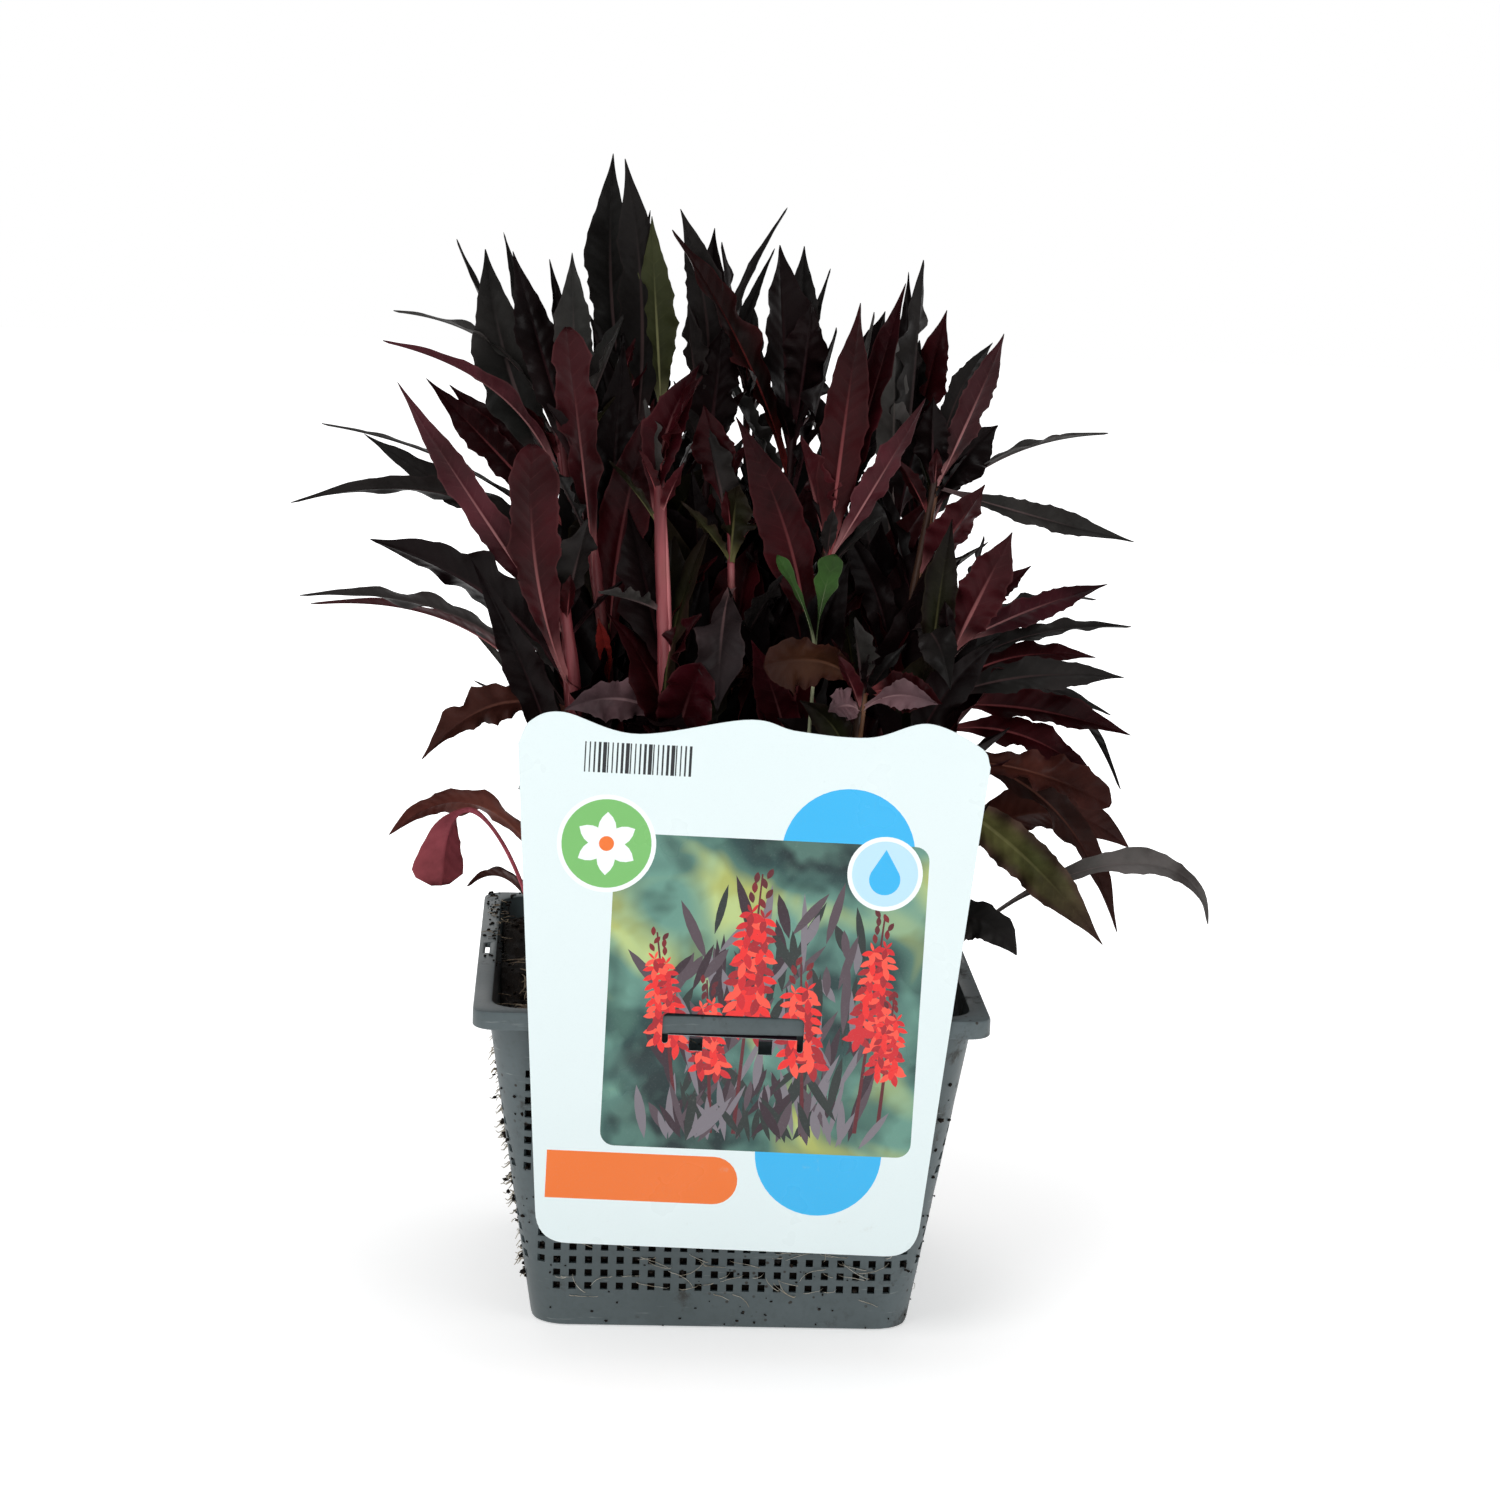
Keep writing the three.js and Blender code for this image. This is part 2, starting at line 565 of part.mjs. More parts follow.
// The point on the stem's axis at a share of its height above the soil. The axis runs
// straight from one of the stem's rings to the next.
function stemPoint(curve, at) {
  const start = (SOIL_LEVEL - curve.v0.z) / (curve.v2.z - curve.v0.z);
  const t = start + (1 - start) * at;
  const upper = Math.max(1, STEM_STATIONS.findIndex((station) => station >= t));
  const [low, high] = [STEM_STATIONS[upper - 1], STEM_STATIONS[upper]];
  return curve.getPoint(low).lerp(curve.getPoint(high), (t - low) / (high - low));
}

// A leaf from the crown: its stalk leaves the soil upright, then arches over.
function makeCrownLeaf({ foot, tip, width, arch, roll }) {
  const root = new THREE.Vector3(foot[0], foot[1], SOCKET_FLOOR + SEAT_GAP);
  const end = new THREE.Vector3(...tip);
  return makeLeaf(root, end, width, arch, roll, STALKED_STATIONS, stalkCurve);
}

function makeSeedling() {
  const { foot, fork, leaves } = SEEDLING;
  const stem = makeStem(stemCurve(foot, fork), SEEDLING_STEM_RADIUS);
  const blades = leaves.map(({ tip, width }, i) => {
    const end = new THREE.Vector3(...tip);
    const root = new THREE.Vector3(...fork);
    root.z -= 2 + 4 * i;
    return makeLeaf(root, end, width, 0.05, 0, SPOON_STATIONS);
  });
  return joinAll([stem, ...blades]);
}

function turnedAbout(axis, point, degrees) {
  const arm = new THREE.Vector3(...point).sub(axis);
  arm.applyAxisAngle(UP, THREE.MathUtils.degToRad(degrees));
  return arm.add(axis);
}

// ---------- placing the leaves ----------
// Everything already in place, with its owner, so that a new leaf can keep clear of it.
const placed = [];

function putInPlace(owner, solid) {
  placed.push({ owner, solid, box: solid.boundingBox() });
}

function boxesNear(a, b, gap) {
  for (let axis = 0; axis < 3; axis += 1) {
    if (a.min[axis] - gap > b.max[axis] || b.min[axis] - gap > a.max[axis]) {
      return false;
    }
  }
  return true;
}

function isClear(owner, solid) {
  const box = solid.boundingBox();
  return placed.every((other) => {
    if (other.owner === owner || !boxesNear(box, other.box, LEAF_GAP)) {
      return true;
    }
    return solid.minGap(other.solid, LEAF_GAP) >= LEAF_GAP;
  });
}

// A leaf that would touch another shoot grows a little to one side instead; where there is
// no room at all it is left out.
const SIDESTEPS = [0, 5, -5, 10, -10, 17, -17, 25, -25];

function growLeaf(owner, leaf, stations) {
  for (const turn of SIDESTEPS) {
    const tip = turnedAbout(leaf.axis, leaf.tip, turn);
    const heading = tip.clone().sub(leaf.axis).setZ(0).normalize();
    const root = leaf.axis.clone().addScaledVector(heading, LEAF_ROOT_OFFSET);
    const solid = makeLeaf(root, tip, leaf.width, leaf.arch, leaf.roll, stations);
    if (isClear(owner, solid)) {
      putInPlace(owner, solid);
      return solid;
    }
  }
  return null;
}

// ---------- assembly ----------
const plant = new THREE.Group();

function addPiece(name, solid, colour, roughness) {
  const material = new THREE.MeshStandardMaterial({ color: colour, roughness, metalness: 0 });
  const mesh = new THREE.Mesh(toGeometry(solid), material);
  mesh.name = name;
  plant.add(mesh);
}

function numbered(name, index) {
  return `${name}_${String(index + 1).padStart(2, "0")}`;
}

const stemFeet = SHOOTS.map(({ foot: [x, y], radius }) => ({ x, y, radius: radius + SOCKET_GAP }));
for (const { foot: [x, y] } of [...CROWN_LEAVES, SEEDLING]) {
  stemFeet.push({ x, y, radius: STALK_SOCKET });
}

const basket = makeBasket();
const soil = makeSoil(stemFeet);
const tag = makeTag();
putInPlace("basket", basket);
putInPlace("soil", soil);
putInPlace("tag", tag);

const shoots = SHOOTS.map((shoot, index) => {
  const curve = stemCurve(shoot.foot, shoot.apex);
  const name = numbered("shoot", index);
  const solids = [makeStem(curve, shoot.radius)];
  putInPlace(name, solids[0]);
  return { name, shoot, index, curve, solids };
});

const seedling = makeSeedling();
putInPlace("seedling", seedling);

const crownLeaves = CROWN_LEAVES.map((leaf, index) => {
  const solid = makeCrownLeaf(leaf);
  putInPlace(numbered("crown_leaf", index), solid);
  return solid;
});

for (const { name, shoot, curve, solids } of shoots) {
  for (const [at, x, y, z, width, arch, roll] of shoot.own) {
    const axis = stemPoint(curve, at);
    const leaf = growLeaf(name, { axis, tip: [x, y, z], width, arch, roll }, BLADE_STATIONS);
    if (leaf) {
      solids.push(leaf);
    }
  }
}

for (const { name, shoot, index, curve, solids } of shoots) {
  for (const wanted of restLeaves(shoot, index, curve)) {
    const leaf = growLeaf(name, wanted, SHORT_STATIONS);
    if (leaf) {
      solids.push(leaf);
    }
  }
}

addPiece("basket", basket, "#56605f", 0.55);
addPiece("soil", soil, "#2a1d15", 0.95);
addPiece("tag", tag, "#e6f0f0", 0.4);
addPiece("seedling", seedling, "#6f8a4c", 0.6);
crownLeaves.forEach((solid, index) => {
  addPiece(numbered("crown_leaf", index), solid, "#6a4a34", 0.6);
});
for (const { name, solids } of shoots) {
  addPiece(name, joinAll(solids), "#3a2226", 0.55);
}

export default plant;
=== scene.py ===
"""Cardinal flower in a square pond basket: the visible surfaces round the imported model.

Lengths are in millimetres until a mesh is made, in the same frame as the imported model.
"""
import math
import random
from collections import namedtuple

import bpy
import numpy as np
from mathutils import Matrix, Vector, noise
from mathutils.geometry import delaunay_2d_cdt


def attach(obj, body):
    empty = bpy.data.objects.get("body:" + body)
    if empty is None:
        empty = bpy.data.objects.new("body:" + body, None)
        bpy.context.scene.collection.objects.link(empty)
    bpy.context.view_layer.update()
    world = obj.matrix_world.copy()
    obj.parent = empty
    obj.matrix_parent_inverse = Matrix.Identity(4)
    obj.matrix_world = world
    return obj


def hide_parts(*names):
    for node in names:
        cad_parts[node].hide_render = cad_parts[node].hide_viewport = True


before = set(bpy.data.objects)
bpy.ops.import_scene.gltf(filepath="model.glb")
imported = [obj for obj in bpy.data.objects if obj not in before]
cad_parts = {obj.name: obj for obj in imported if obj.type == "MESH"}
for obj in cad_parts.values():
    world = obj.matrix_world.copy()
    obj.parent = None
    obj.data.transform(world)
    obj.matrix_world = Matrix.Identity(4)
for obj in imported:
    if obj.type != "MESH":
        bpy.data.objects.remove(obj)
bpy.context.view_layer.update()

MM = 0.001
UP = np.array([0.0, 0.0, 1.0])
dice = random.Random(18)

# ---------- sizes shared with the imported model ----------
BASKET_HEIGHT = 121
RIM_HALF = 90
RIM_CORNER = 8
LIP_DROP = 6.5
LIP_THICK = 1.6
FLANGE_THICK = 1.8
FLANGE_INNER_HALF = 83.4
BASE_HALF = 67.8
BASE_CHAMFER = 2
WALL_THICK = 1.6
FLOOR_FILLET = 1.2
WALL_CORNER = 13
WALL_TOP_HALF = 85.1
INSIDE_BASE_HALF = BASE_HALF - WALL_THICK
INSIDE_FOOT = WALL_THICK + FLOOR_FILLET
SLOT_LENGTH, SLOT_WIDTH, SLOT_HALF = 15, 1.7, 86.9
SOIL_LEVEL = 109
SEAT_GAP = 0.35
SOCKET_FLOOR = 92
STEM_STATIONS = [0, 0.1, 0.35, 0.65, 1]
LEAF_ROOT_OFFSET = 0.6
GOLDEN_TURN = 137.5
SIDESTEPS = [0, 5, -5, 10, -10, 17, -17, 25, -25]
TAG_THICK = 0.6
TAG_TURN = 1.5
TAG_LEAN = -2
TAG_ORIGIN = (2, -RIM_HALF - 0.45, BASKET_HEIGHT - LIP_DROP / 2)
TAG_HALF_AT_LIP = 72.8
TAG_TAPER = 0.0845
TAG_BOTTOM = -79.6
TAG_CORNER = 11
TAG_SHOULDER = 95
TAG_TOP_WAVE = [
    (-77, 103), (-66, 106.6), (-40.6, 100.3), (-2.9, 107.1),
    (14, 104), (38.9, 103), (58.7, 108.8), (77, 101.5),
]
TAG_SLOT = (-26.5, 22.5, -3.9, 3.8)  # left, right, bottom, top
TAG_HOLES = [(-17, -12.3, -9.2, -4.0), (7, 11.8, -9.6, -4.0)]
SLOT_ENDS = [(-26.5, -7.0), (20.3, -8.4)]  # left edge and bottom of each end of the slot
SLOT_END_WIDE = 2.2
SLOT_ROUND = 2
TONGUE_BACK, TONGUE_TOP = 3.1, 0.4


def srgb(red, green, blue):
    """A colour given as 0 to 255 in sRGB, as linear values with alpha."""
    linear = []
    for value in (red, green, blue):
        share = value / 255
        linear.append(share / 12.92 if share <= 0.04045 else ((share + 0.055) / 1.055) ** 2.4)
    return (*linear, 1.0)


# ---------- camera, lights and floor ----------
# The camera was fitted to the photograph. Its place, lens and sensor are in millimetres.
CAMERA_PLACE = (-61.6, -1326.4, 456.5)
CAMERA_RIGHT = (0.99842, -0.04531, 0.03323)
CAMERA_UP = (-0.02389, 0.19288, 0.98093)
CAMERA_LENS = 89.0
CAMERA_SENSOR = 36.0
PHOTO_SIZE = 1500  # pixels each way
LIT_PLACE = (0, 0, 0.2)  # metres
LIGHTS = {  # place and disc size in metres, power in watts
    "key_light": ((-1.1, -1.7, 1.9), 1.3, 20),
    "fill_light": ((1.7, -1.5, 1.1), 1.5, 11),
    "top_light": ((0.2, 0.9, 2.3), 1.6, 11),
    "back_light": ((-0.5, 2.0, 1.0), 1.5, 5),
}
ROOM_STRENGTH = 0.27  # light from all round
SWEEP_STRENGTH = 1.0  # what the camera sees behind the object


def camera_axes():
    """Directions to the camera's right, up and back."""
    right = Vector(CAMERA_RIGHT).normalized()
    back = right.cross(Vector(CAMERA_UP).normalized()).normalized()
    return right, back.cross(right), back


def make_camera():
    data = bpy.data.cameras.new("camera")
    data.lens = CAMERA_LENS
    data.sensor_width = CAMERA_SENSOR
    data.clip_start, data.clip_end = 0.05, 50
    camera = bpy.data.objects.new("camera", data)
    turn = Matrix(camera_axes()).transposed().to_4x4()
    camera.matrix_world = Matrix.Translation(Vector(CAMERA_PLACE) * MM) @ turn
    bpy.context.scene.collection.objects.link(camera)
    bpy.context.scene.camera = camera


def make_light(name, place, target, size, power):
    data = bpy.data.lights.new(name, "AREA")
    data.shape = "DISK"
    data.size = size
    data.energy = power
    light = bpy.data.objects.new(name, data)
    light.location = place
    aim = Vector(target) - Vector(place)
    light.rotation_euler = aim.to_track_quat("-Z", "Y").to_euler()
    bpy.context.scene.collection.objects.link(light)


def make_studio():
    for name, (place, size, power) in LIGHTS.items():
        make_light(name, place, LIT_PLACE, size, power)
    world = bpy.data.worlds.new("studio")
    bpy.context.scene.world = world
    world.use_nodes = True
    nodes, links = world.node_tree.nodes, world.node_tree.links
    nodes.clear()
    room = nodes.new("ShaderNodeBackground")
    room.inputs["Color"].default_value = (1, 1, 1, 1)
    room.inputs["Strength"].default_value = ROOM_STRENGTH
    sweep = nodes.new("ShaderNodeBackground")
    sweep.inputs["Color"].default_value = (1, 1, 1, 1)
    sweep.inputs["Strength"].default_value = SWEEP_STRENGTH
    path = nodes.new("ShaderNodeLightPath")
    mix = nodes.new("ShaderNodeMixShader")
    output = nodes.new("ShaderNodeOutputWorld")
    links.new(path.outputs["Is Camera Ray"], mix.inputs[0])
    links.new(room.outputs[0], mix.inputs[1])
    links.new(sweep.outputs[0], mix.inputs[2])
    links.new(mix.outputs[0], output.inputs["Surface"])
    bpy.context.scene.view_settings.view_transform = "Standard"


# ---------- materials ----------
class Shader:
    """Short calls for building one material's nodes."""

    def __init__(self, name):
        self.material = bpy.data.materials.new(name)
        self.material.use_nodes = True
        self.nodes = self.material.node_tree.nodes
        self.links = self.material.node_tree.links
        self.surface = self.nodes["Principled BSDF"]

    def put(self, node, socket, value):
        if isinstance(value, bpy.types.NodeSocket):
            self.links.new(value, node.inputs[socket])
        elif value is not None:
            node.inputs[socket].default_value = value

    def node(self, kind, sockets, **settings):
        """The outputs of a new node, with a link or a constant on each socket given."""
        node = self.nodes.new("ShaderNode" + kind)
        for name, value in settings.items():
            setattr(node, name, value)
        for socket, value in sockets.items():
            self.put(node, socket, value)
        return node.outputs

    def place(self):
        return self.node("TexCoord", {})["Object"]

    def attribute(self, name, output="Color"):
        return self.node("Attribute", {}, attribute_name=name)[output]

    def split(self, colour):
        parts = self.node("SeparateColor", {"Color": colour})
        return parts["Red"], parts["Green"], parts["Blue"]

    def noise(self, scale, detail=4.0, rough=0.55, vector=None, distort=0.0):
        return self.node("TexNoise", {
            "Vector": vector or self.place(), "Scale": scale, "Detail": detail,
            "Roughness": rough, "Distortion": distort,
        })["Fac"]

    def cells(self, scale):
        return self.node("TexVoronoi", {"Vector": self.place(), "Scale": scale})["Distance"]

    def stretch(self, scale):
        return self.node("Mapping", {"Vector": self.place(), "Scale": scale})["Vector"]

    def math(self, operation, first, second=None, third=None):
        return self.node("Math", {0: first, 1: second, 2: third}, operation=operation)[0]

    def spread(self, value, low, high, to_low=0.0, to_high=1.0):
        return self.node("MapRange", {
            "Value": value, "From Min": low, "From Max": high, "To Min": to_low, "To Max": to_high,
        }, interpolation_type="SMOOTHSTEP")["Result"]

    def mix(self, amount, first, second, blend="MIX"):
        sockets = {0: amount, 6: first, 7: second}
        return self.node("Mix", sockets, data_type="RGBA", blend_type=blend)[2]

    def bump(self, height, distance, strength=1.0, below=None):
        return self.node("Bump", {
            "Height": height, "Distance": distance, "Strength": strength, "Normal": below,
        })["Normal"]

    def ramp(self, value, *stops):
        node = self.nodes.new("ShaderNodeValToRGB")
        self.put(node, "Fac", value)
        bands = node.color_ramp.elements
        while len(bands) < len(stops):
            bands.new(0.5)
        for band, (at, colour) in zip(bands, stops):
            band.position = at
            band.color = colour
        return node.outputs["Color"]

    def finish(self, colour, roughness, normal=None, specular=0.5):
        self.put(self.surface, "Base Color", colour)
        self.put(self.surface, "Roughness", roughness)
        self.put(self.surface, "Normal", normal)
        self.surface.inputs["Specular IOR Level"].default_value = specular
        return self.material


def leaf_material():
    """Colour comes from each leaf's own tone and rib; `blade` holds the place on the leaf:
    across from midrib to edge, along, and the count of side veins passed."""
    s = Shader("leaf")
    tone = s.attribute("tone")
    rib = s.attribute("rib")
    across, along, veins = s.split(s.attribute("blade"))
    under = s.attribute("under", "Fac")
    mottle = s.noise(45, 5, 0.6)
    patch = s.noise(24, 3, 0.5)
    shaded = s.mix(1.0, tone, (0.5, 0.56, 0.54, 1), "MULTIPLY")
    colour = s.mix(s.spread(patch, 0.38, 0.62), shaded, tone)
    deep = s.mix(1.0, tone, (0.55, 0.62, 0.62, 1), "MULTIPLY")
    colour = s.mix(s.spread(along, 0.45, 0.95, 0.0, 0.8), colour, deep)
    dark = s.mix(1.0, colour, (0.5, 0.46, 0.46, 1), "MULTIPLY")
    colour = s.mix(s.spread(mottle, 0.4, 0.7), colour, dark)
    paler = s.mix(0.02, colour, rib)
    colour = s.mix(under, colour, paler)
    edge = s.spread(across, 0.88, 1.0)
    colour = s.mix(s.math("MULTIPLY", edge, 0.5), colour, s.mix(0.1, colour, rib))
    wave = s.math("PINGPONG", veins, 0.5)
    vein = s.spread(wave, 0.0, 0.07, 1.0, 0.0)
    fading = s.spread(across, 0.15, 0.8, 1.0, 0.0)
    vein = s.math("MULTIPLY", vein, fading)
    colour = s.mix(s.math("MULTIPLY", vein, 0.025), colour, rib)
    width = s.math("MULTIPLY_ADD", along, -0.12, 0.14)
    inner = s.math("SUBTRACT", across, width)
    midrib = s.spread(inner, -0.05, 0.02, 1.0, 0.0)
    pale = s.math("MULTIPLY", midrib, s.spread(along, 0.25, 0.85, 0.6, 0.0))
    colour = s.mix(pale, colour, rib)
    base = s.spread(along, 0.03, 0.3, 0.85, 0.0)
    colour = s.mix(base, colour, rib)
    puffed = s.spread(wave, 0.0, 0.5)
    height = s.math("MULTIPLY_ADD", puffed, 0.16, s.math("MULTIPLY", mottle, 0.9))
    normal = s.bump(height, 0.0008, 0.8)
    normal = s.bump(s.noise(900, 2), 0.0001, 0.3, normal)
    rough = s.spread(s.noise(60, 3), 0.3, 0.7, 0.3, 0.5)
    return s.finish(colour, rough, normal, 0.065)


def stem_material():
    s = Shader("stem")
    tone = s.attribute("tone")
    streaks = s.noise(90, 4, 0.6, s.stretch((1, 1, 0.06)))
    darker = s.mix(1.0, tone, (0.36, 0.26, 0.27, 1), "MULTIPLY")
    colour = s.mix(s.spread(streaks, 0.35, 0.68), tone, darker)
    green = s.mix(s.spread(s.noise(25, 2), 0.55, 0.75, 0, 0.35), colour, srgb(92, 70, 48))
    normal = s.bump(streaks, 0.0007, 0.8)
    return s.finish(green, s.spread(streaks, 0.3, 0.7, 0.35, 0.55), normal, 0.4)


def basket_material():
    """Satin moulded plastic with soil splashes, thickest at the foot and towards the right-hand side.
    """
    s = Shader("basket_plastic")
    place = s.place()
    cloud = s.noise(18, 5, 0.6)
    colour = s.ramp(cloud, (0.3, srgb(68, 79, 81)), (0.7, srgb(87, 98, 101)))
    fine = s.noise(420, 3, 0.6)
    colour = s.mix(s.spread(fine, 0.45, 0.75, 0, 0.25), colour, srgb(60, 68, 66))
    axes = s.node("SeparateXYZ", {"Vector": place})
    height, side = axes["Z"], axes["X"]
    low = s.spread(height, 0.03, 0.0, 0.0, 0.03)
    right = s.spread(side, 0.02, 0.07, 0.0, 0.06)
    stain = s.math("ADD", s.noise(60, 6, 0.7), s.math("ADD", low, right))
    mud = s.spread(stain, 0.6, 0.74)
    colour = s.mix(s.math("MULTIPLY", mud, 0.7), colour, srgb(48, 42, 36))
    specks = s.spread(s.cells(260), 0.1, 0.2, 1.0, 0.0)
    chosen = s.spread(s.noise(35, 2), 0.52, 0.62)
    colour = s.mix(s.math("MULTIPLY", specks, chosen), colour, srgb(36, 30, 24))
    scuffs = s.noise(200, 3, 0.7, s.stretch((0.25, 0.25, 3)))
    colour = s.mix(s.spread(scuffs, 0.64, 0.78, 0, 0.4), colour, srgb(156, 164, 164))
    rough = s.math("ADD", s.spread(cloud, 0.3, 0.7, 0.38, 0.52), s.math("MULTIPLY", mud, 0.35))
    normal = s.bump(s.noise(700, 2), 0.00008, 0.5)
    normal = s.bump(mud, 0.0003, 0.5, normal)
    return s.finish(colour, rough, normal, 0.45)


def soil_material():
    s = Shader("potting_soil")
    lumps = s.noise(110, 8, 0.7)
    # Partly the soil's own dark colour and partly painted shade: the ramp runs near black, as deep as
    # the shade inside the basket, and the crumbs and bits out in the light take it too.
    colour = s.ramp(lumps, (0.32, srgb(9, 7, 6)), (0.72, srgb(36, 28, 22)))
    fibres = s.noise(500, 3, 0.7, s.stretch((1, 0.18, 0.5)), 1.5)
    colour = s.mix(s.spread(fibres, 0.62, 0.75, 0, 0.5), colour, srgb(92, 78, 62))
    grit = s.spread(s.cells(900), 0.1, 0.22, 1, 0)
    gritty = s.math("MULTIPLY", grit, s.spread(s.noise(60, 2), 0.5, 0.62, 0, 0.7))
    colour = s.mix(gritty, colour, srgb(120, 104, 86))
    normal = s.bump(lumps, 0.002, 0.9)
    normal = s.bump(fibres, 0.0005, 0.8, normal)
    return s.finish(colour, s.spread(lumps, 0.3, 0.7, 0.75, 0.97), normal, 0.2)


def fibre_material(name, colour_a, colour_b):
    s = Shader(name)
    shade = s.noise(160, 4, 0.6)
    colour = s.ramp(shade, (0.35, srgb(*colour_a)), (0.65, srgb(*colour_b)))
    return s.finish(colour, s.spread(shade, 0.3, 0.7, 0.5, 0.8), s.bump(shade, 0.0002, 0.5), 0.3)


def tag_material():
    """Printed plastic sheet. `ink` is each area's flat colour, and `scene` marks the picture,
    whose out-of-focus garden is made of soft noise."""
    s = Shader("tag_print")
    ink = s.attribute("ink")
    scene = s.attribute("scene", "Fac")
    soft = s.noise(26, 2, 0.45, None, 0.6)
    blotch = s.noise(62, 2, 0.5, None, 0.3)
    garden = s.ramp(
        soft, (0.34, srgb(18, 44, 46)), (0.46, srgb(38, 78, 76)),
        (0.56, srgb(88, 134, 120)), (0.68, srgb(206, 214, 116)),
    )
    leaves = s.ramp(blotch, (0.42, srgb(14, 36, 38)), (0.6, srgb(122, 172, 156)))
    garden = s.mix(0.36, garden, leaves)
    colour = s.mix(scene, ink, garden)
    grain = s.noise(1500, 2, 0.5)
    colour = s.mix(s.spread(grain, 0.5, 0.9, 0.0, 0.06), colour, srgb(170, 180, 182))
    dust = s.spread(s.noise(70, 5, 0.7), 0.66, 0.8, 0.0, 0.3)
    colour = s.mix(dust, colour, srgb(196, 200, 192))
    normal = s.bump(s.noise(30, 2), 0.0006, 0.25)
    return s.finish(colour, s.spread(s.noise(40, 3), 0.3, 0.7, 0.26, 0.4), normal, 0.4)


def floor_material():
    """Pale paper that glows with painted light: half strength near the middle, full from 0.6 m out,
    which lightens the shadow round the basket and fades the floor into the white sweep behind it.
    """
    s = Shader("studio_floor")
    paper = s.noise(3, 3, 0.5)
    colour = s.ramp(paper, (0.3, (0.9, 0.9, 0.9, 1)), (0.7, (0.93, 0.93, 0.93, 1)))
    reach = s.node("VectorMath", {0: s.place()}, operation="LENGTH")["Value"]
    # Painted light: the floor glows, more weakly near the basket than far from it, which pales the
    # shadow that the basket casts.
    s.put(s.surface, "Emission Color", (1, 1, 1, 1))
    s.put(s.surface, "Emission Strength", s.spread(reach, 0.05, 0.6, 0.45, 1.0))
    return s.finish(colour, s.spread(paper, 0.3, 0.7, 0.85, 0.95), None, 0.1)


# ---------- meshes ----------
class Surface:
    """Points and faces of one piece, gathered from many parts, with a value of each kind
    per point and per face."""

    def __init__(self):
        self.points = []
        self.faces = []
        self.point_values = {}
        self.face_values = {}
        self.rims = []
        self.count = 0

    def add(self, points, faces, point_values=None, face_values=None, rim=None):
        points = np.asarray(points, float)
        self.points.append(points)
        self.faces.extend([[i + self.count for i in face] for face in faces])
        for name, value in (point_values or {}).items():
            value = np.asarray(value, float)
            if value.ndim == 1:
                value = np.tile(value, (len(points), 1))
            self.point_values.setdefault(name, []).append(value)
        for name, value in (face_values or {}).items():
            value = np.asarray(value, float)
            if value.ndim == 0:
                value = np.full(len(faces), float(value))
            self.face_values.setdefault(name, []).append(value)
        self.rims.append(np.zeros(len(points), bool) if rim is None else rim)
        self.count += len(points)

    def make(self, name, material, body="root", stands_for=(), slot=None, angle=None):
        mesh = bpy.data.meshes.new(name)
        points = np.concatenate(self.points) * MM
        mesh.from_pydata(points.tolist(), [], self.faces)
        for key, parts in self.point_values.items():
            layer = mesh.attributes.new(key, "FLOAT_COLOR", "POINT")
            layer.data.foreach_set("color", np.concatenate(parts).astype(np.float32).ravel())
        for key, parts in self.face_values.items():
            values = np.concatenate(parts).astype(np.float32)
            if values.ndim == 1:
                layer = mesh.attributes.new(key, "FLOAT", "FACE")
                layer.data.foreach_set("value", values)
            else:
                layer = mesh.attributes.new(key, "FLOAT_COLOR", "FACE")
                layer.data.foreach_set("color", values.ravel())
        mesh.polygons.foreach_set("use_smooth", [True] * len(mesh.polygons))
        if angle is not None:
            mesh.set_sharp_from_angle(angle=math.radians(angle))
        rim = np.concatenate(self.rims)
        if rim.any():
            ends = np.empty(len(mesh.edges) * 2, int)
            mesh.edges.foreach_get("vertices", ends)
            sharp = rim[ends.reshape(-1, 2)].all(axis=1)
            mesh.edges.foreach_set("use_edge_sharp", sharp)
        mesh.materials.append(material)
        mesh.update()
        piece = bpy.data.objects.new(name, mesh)
        bpy.context.scene.collection.objects.link(piece)
        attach(piece, body)
        if stands_for:
            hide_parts(*stands_for)
        return piece


def unit(vectors):
    length = np.linalg.norm(vectors, axis=-1, keepdims=True)
    return vectors / np.maximum(length, 1e-9)


def chance(a, b):
    value = math.sin(a * 12.9898 + b * 78.233) * 43758.5453
    return value - math.floor(value)


def smooth_curve(knots, at):
    """A smooth curve through (place, value) pairs, read at the places in `at`."""
    x = np.array([knot[0] for knot in knots], float)
    y = np.array([knot[1] for knot in knots], float)
    slope = np.gradient(y, x)
    k = np.clip(np.searchsorted(x, at, side="right") - 1, 0, len(x) - 2)
    span = x[k + 1] - x[k]
    q = (at - x[k]) / span
    low = y[k] * (2 * q**3 - 3 * q**2 + 1) + slope[k] * span * (q**3 - 2 * q**2 + q)
    high = y[k + 1] * (3 * q**2 - 2 * q**3) + slope[k + 1] * span * (q**3 - q**2)
    return low + high


def bezier(controls, t):
    """Points and directions on a Bezier curve of any degree, for an array of t."""
    t = np.asarray(t, float)[:, None]
    level = [np.broadcast_to(np.asarray(c, float), (len(t), 3)) for c in controls]
    while len(level) > 2:
        level = [a + (b - a) * t for a, b in zip(level, level[1:])]
    return level[0] + (level[1] - level[0]) * t, unit(level[1] - level[0])


def ring_faces(size, count):
    """Faces for rings of points: the one that closes the foot, those that join each ring to
    the next, and the one that closes the head."""
    last = (count - 1) * size
    quads = [
        [low + i, low + (i + 1) % size, low + size + (i + 1) % size, low + size + i]
        for low in range(0, last, size) for i in range(size)
    ]
    return list(range(size))[::-1], quads, [last + i for i in range(size)]


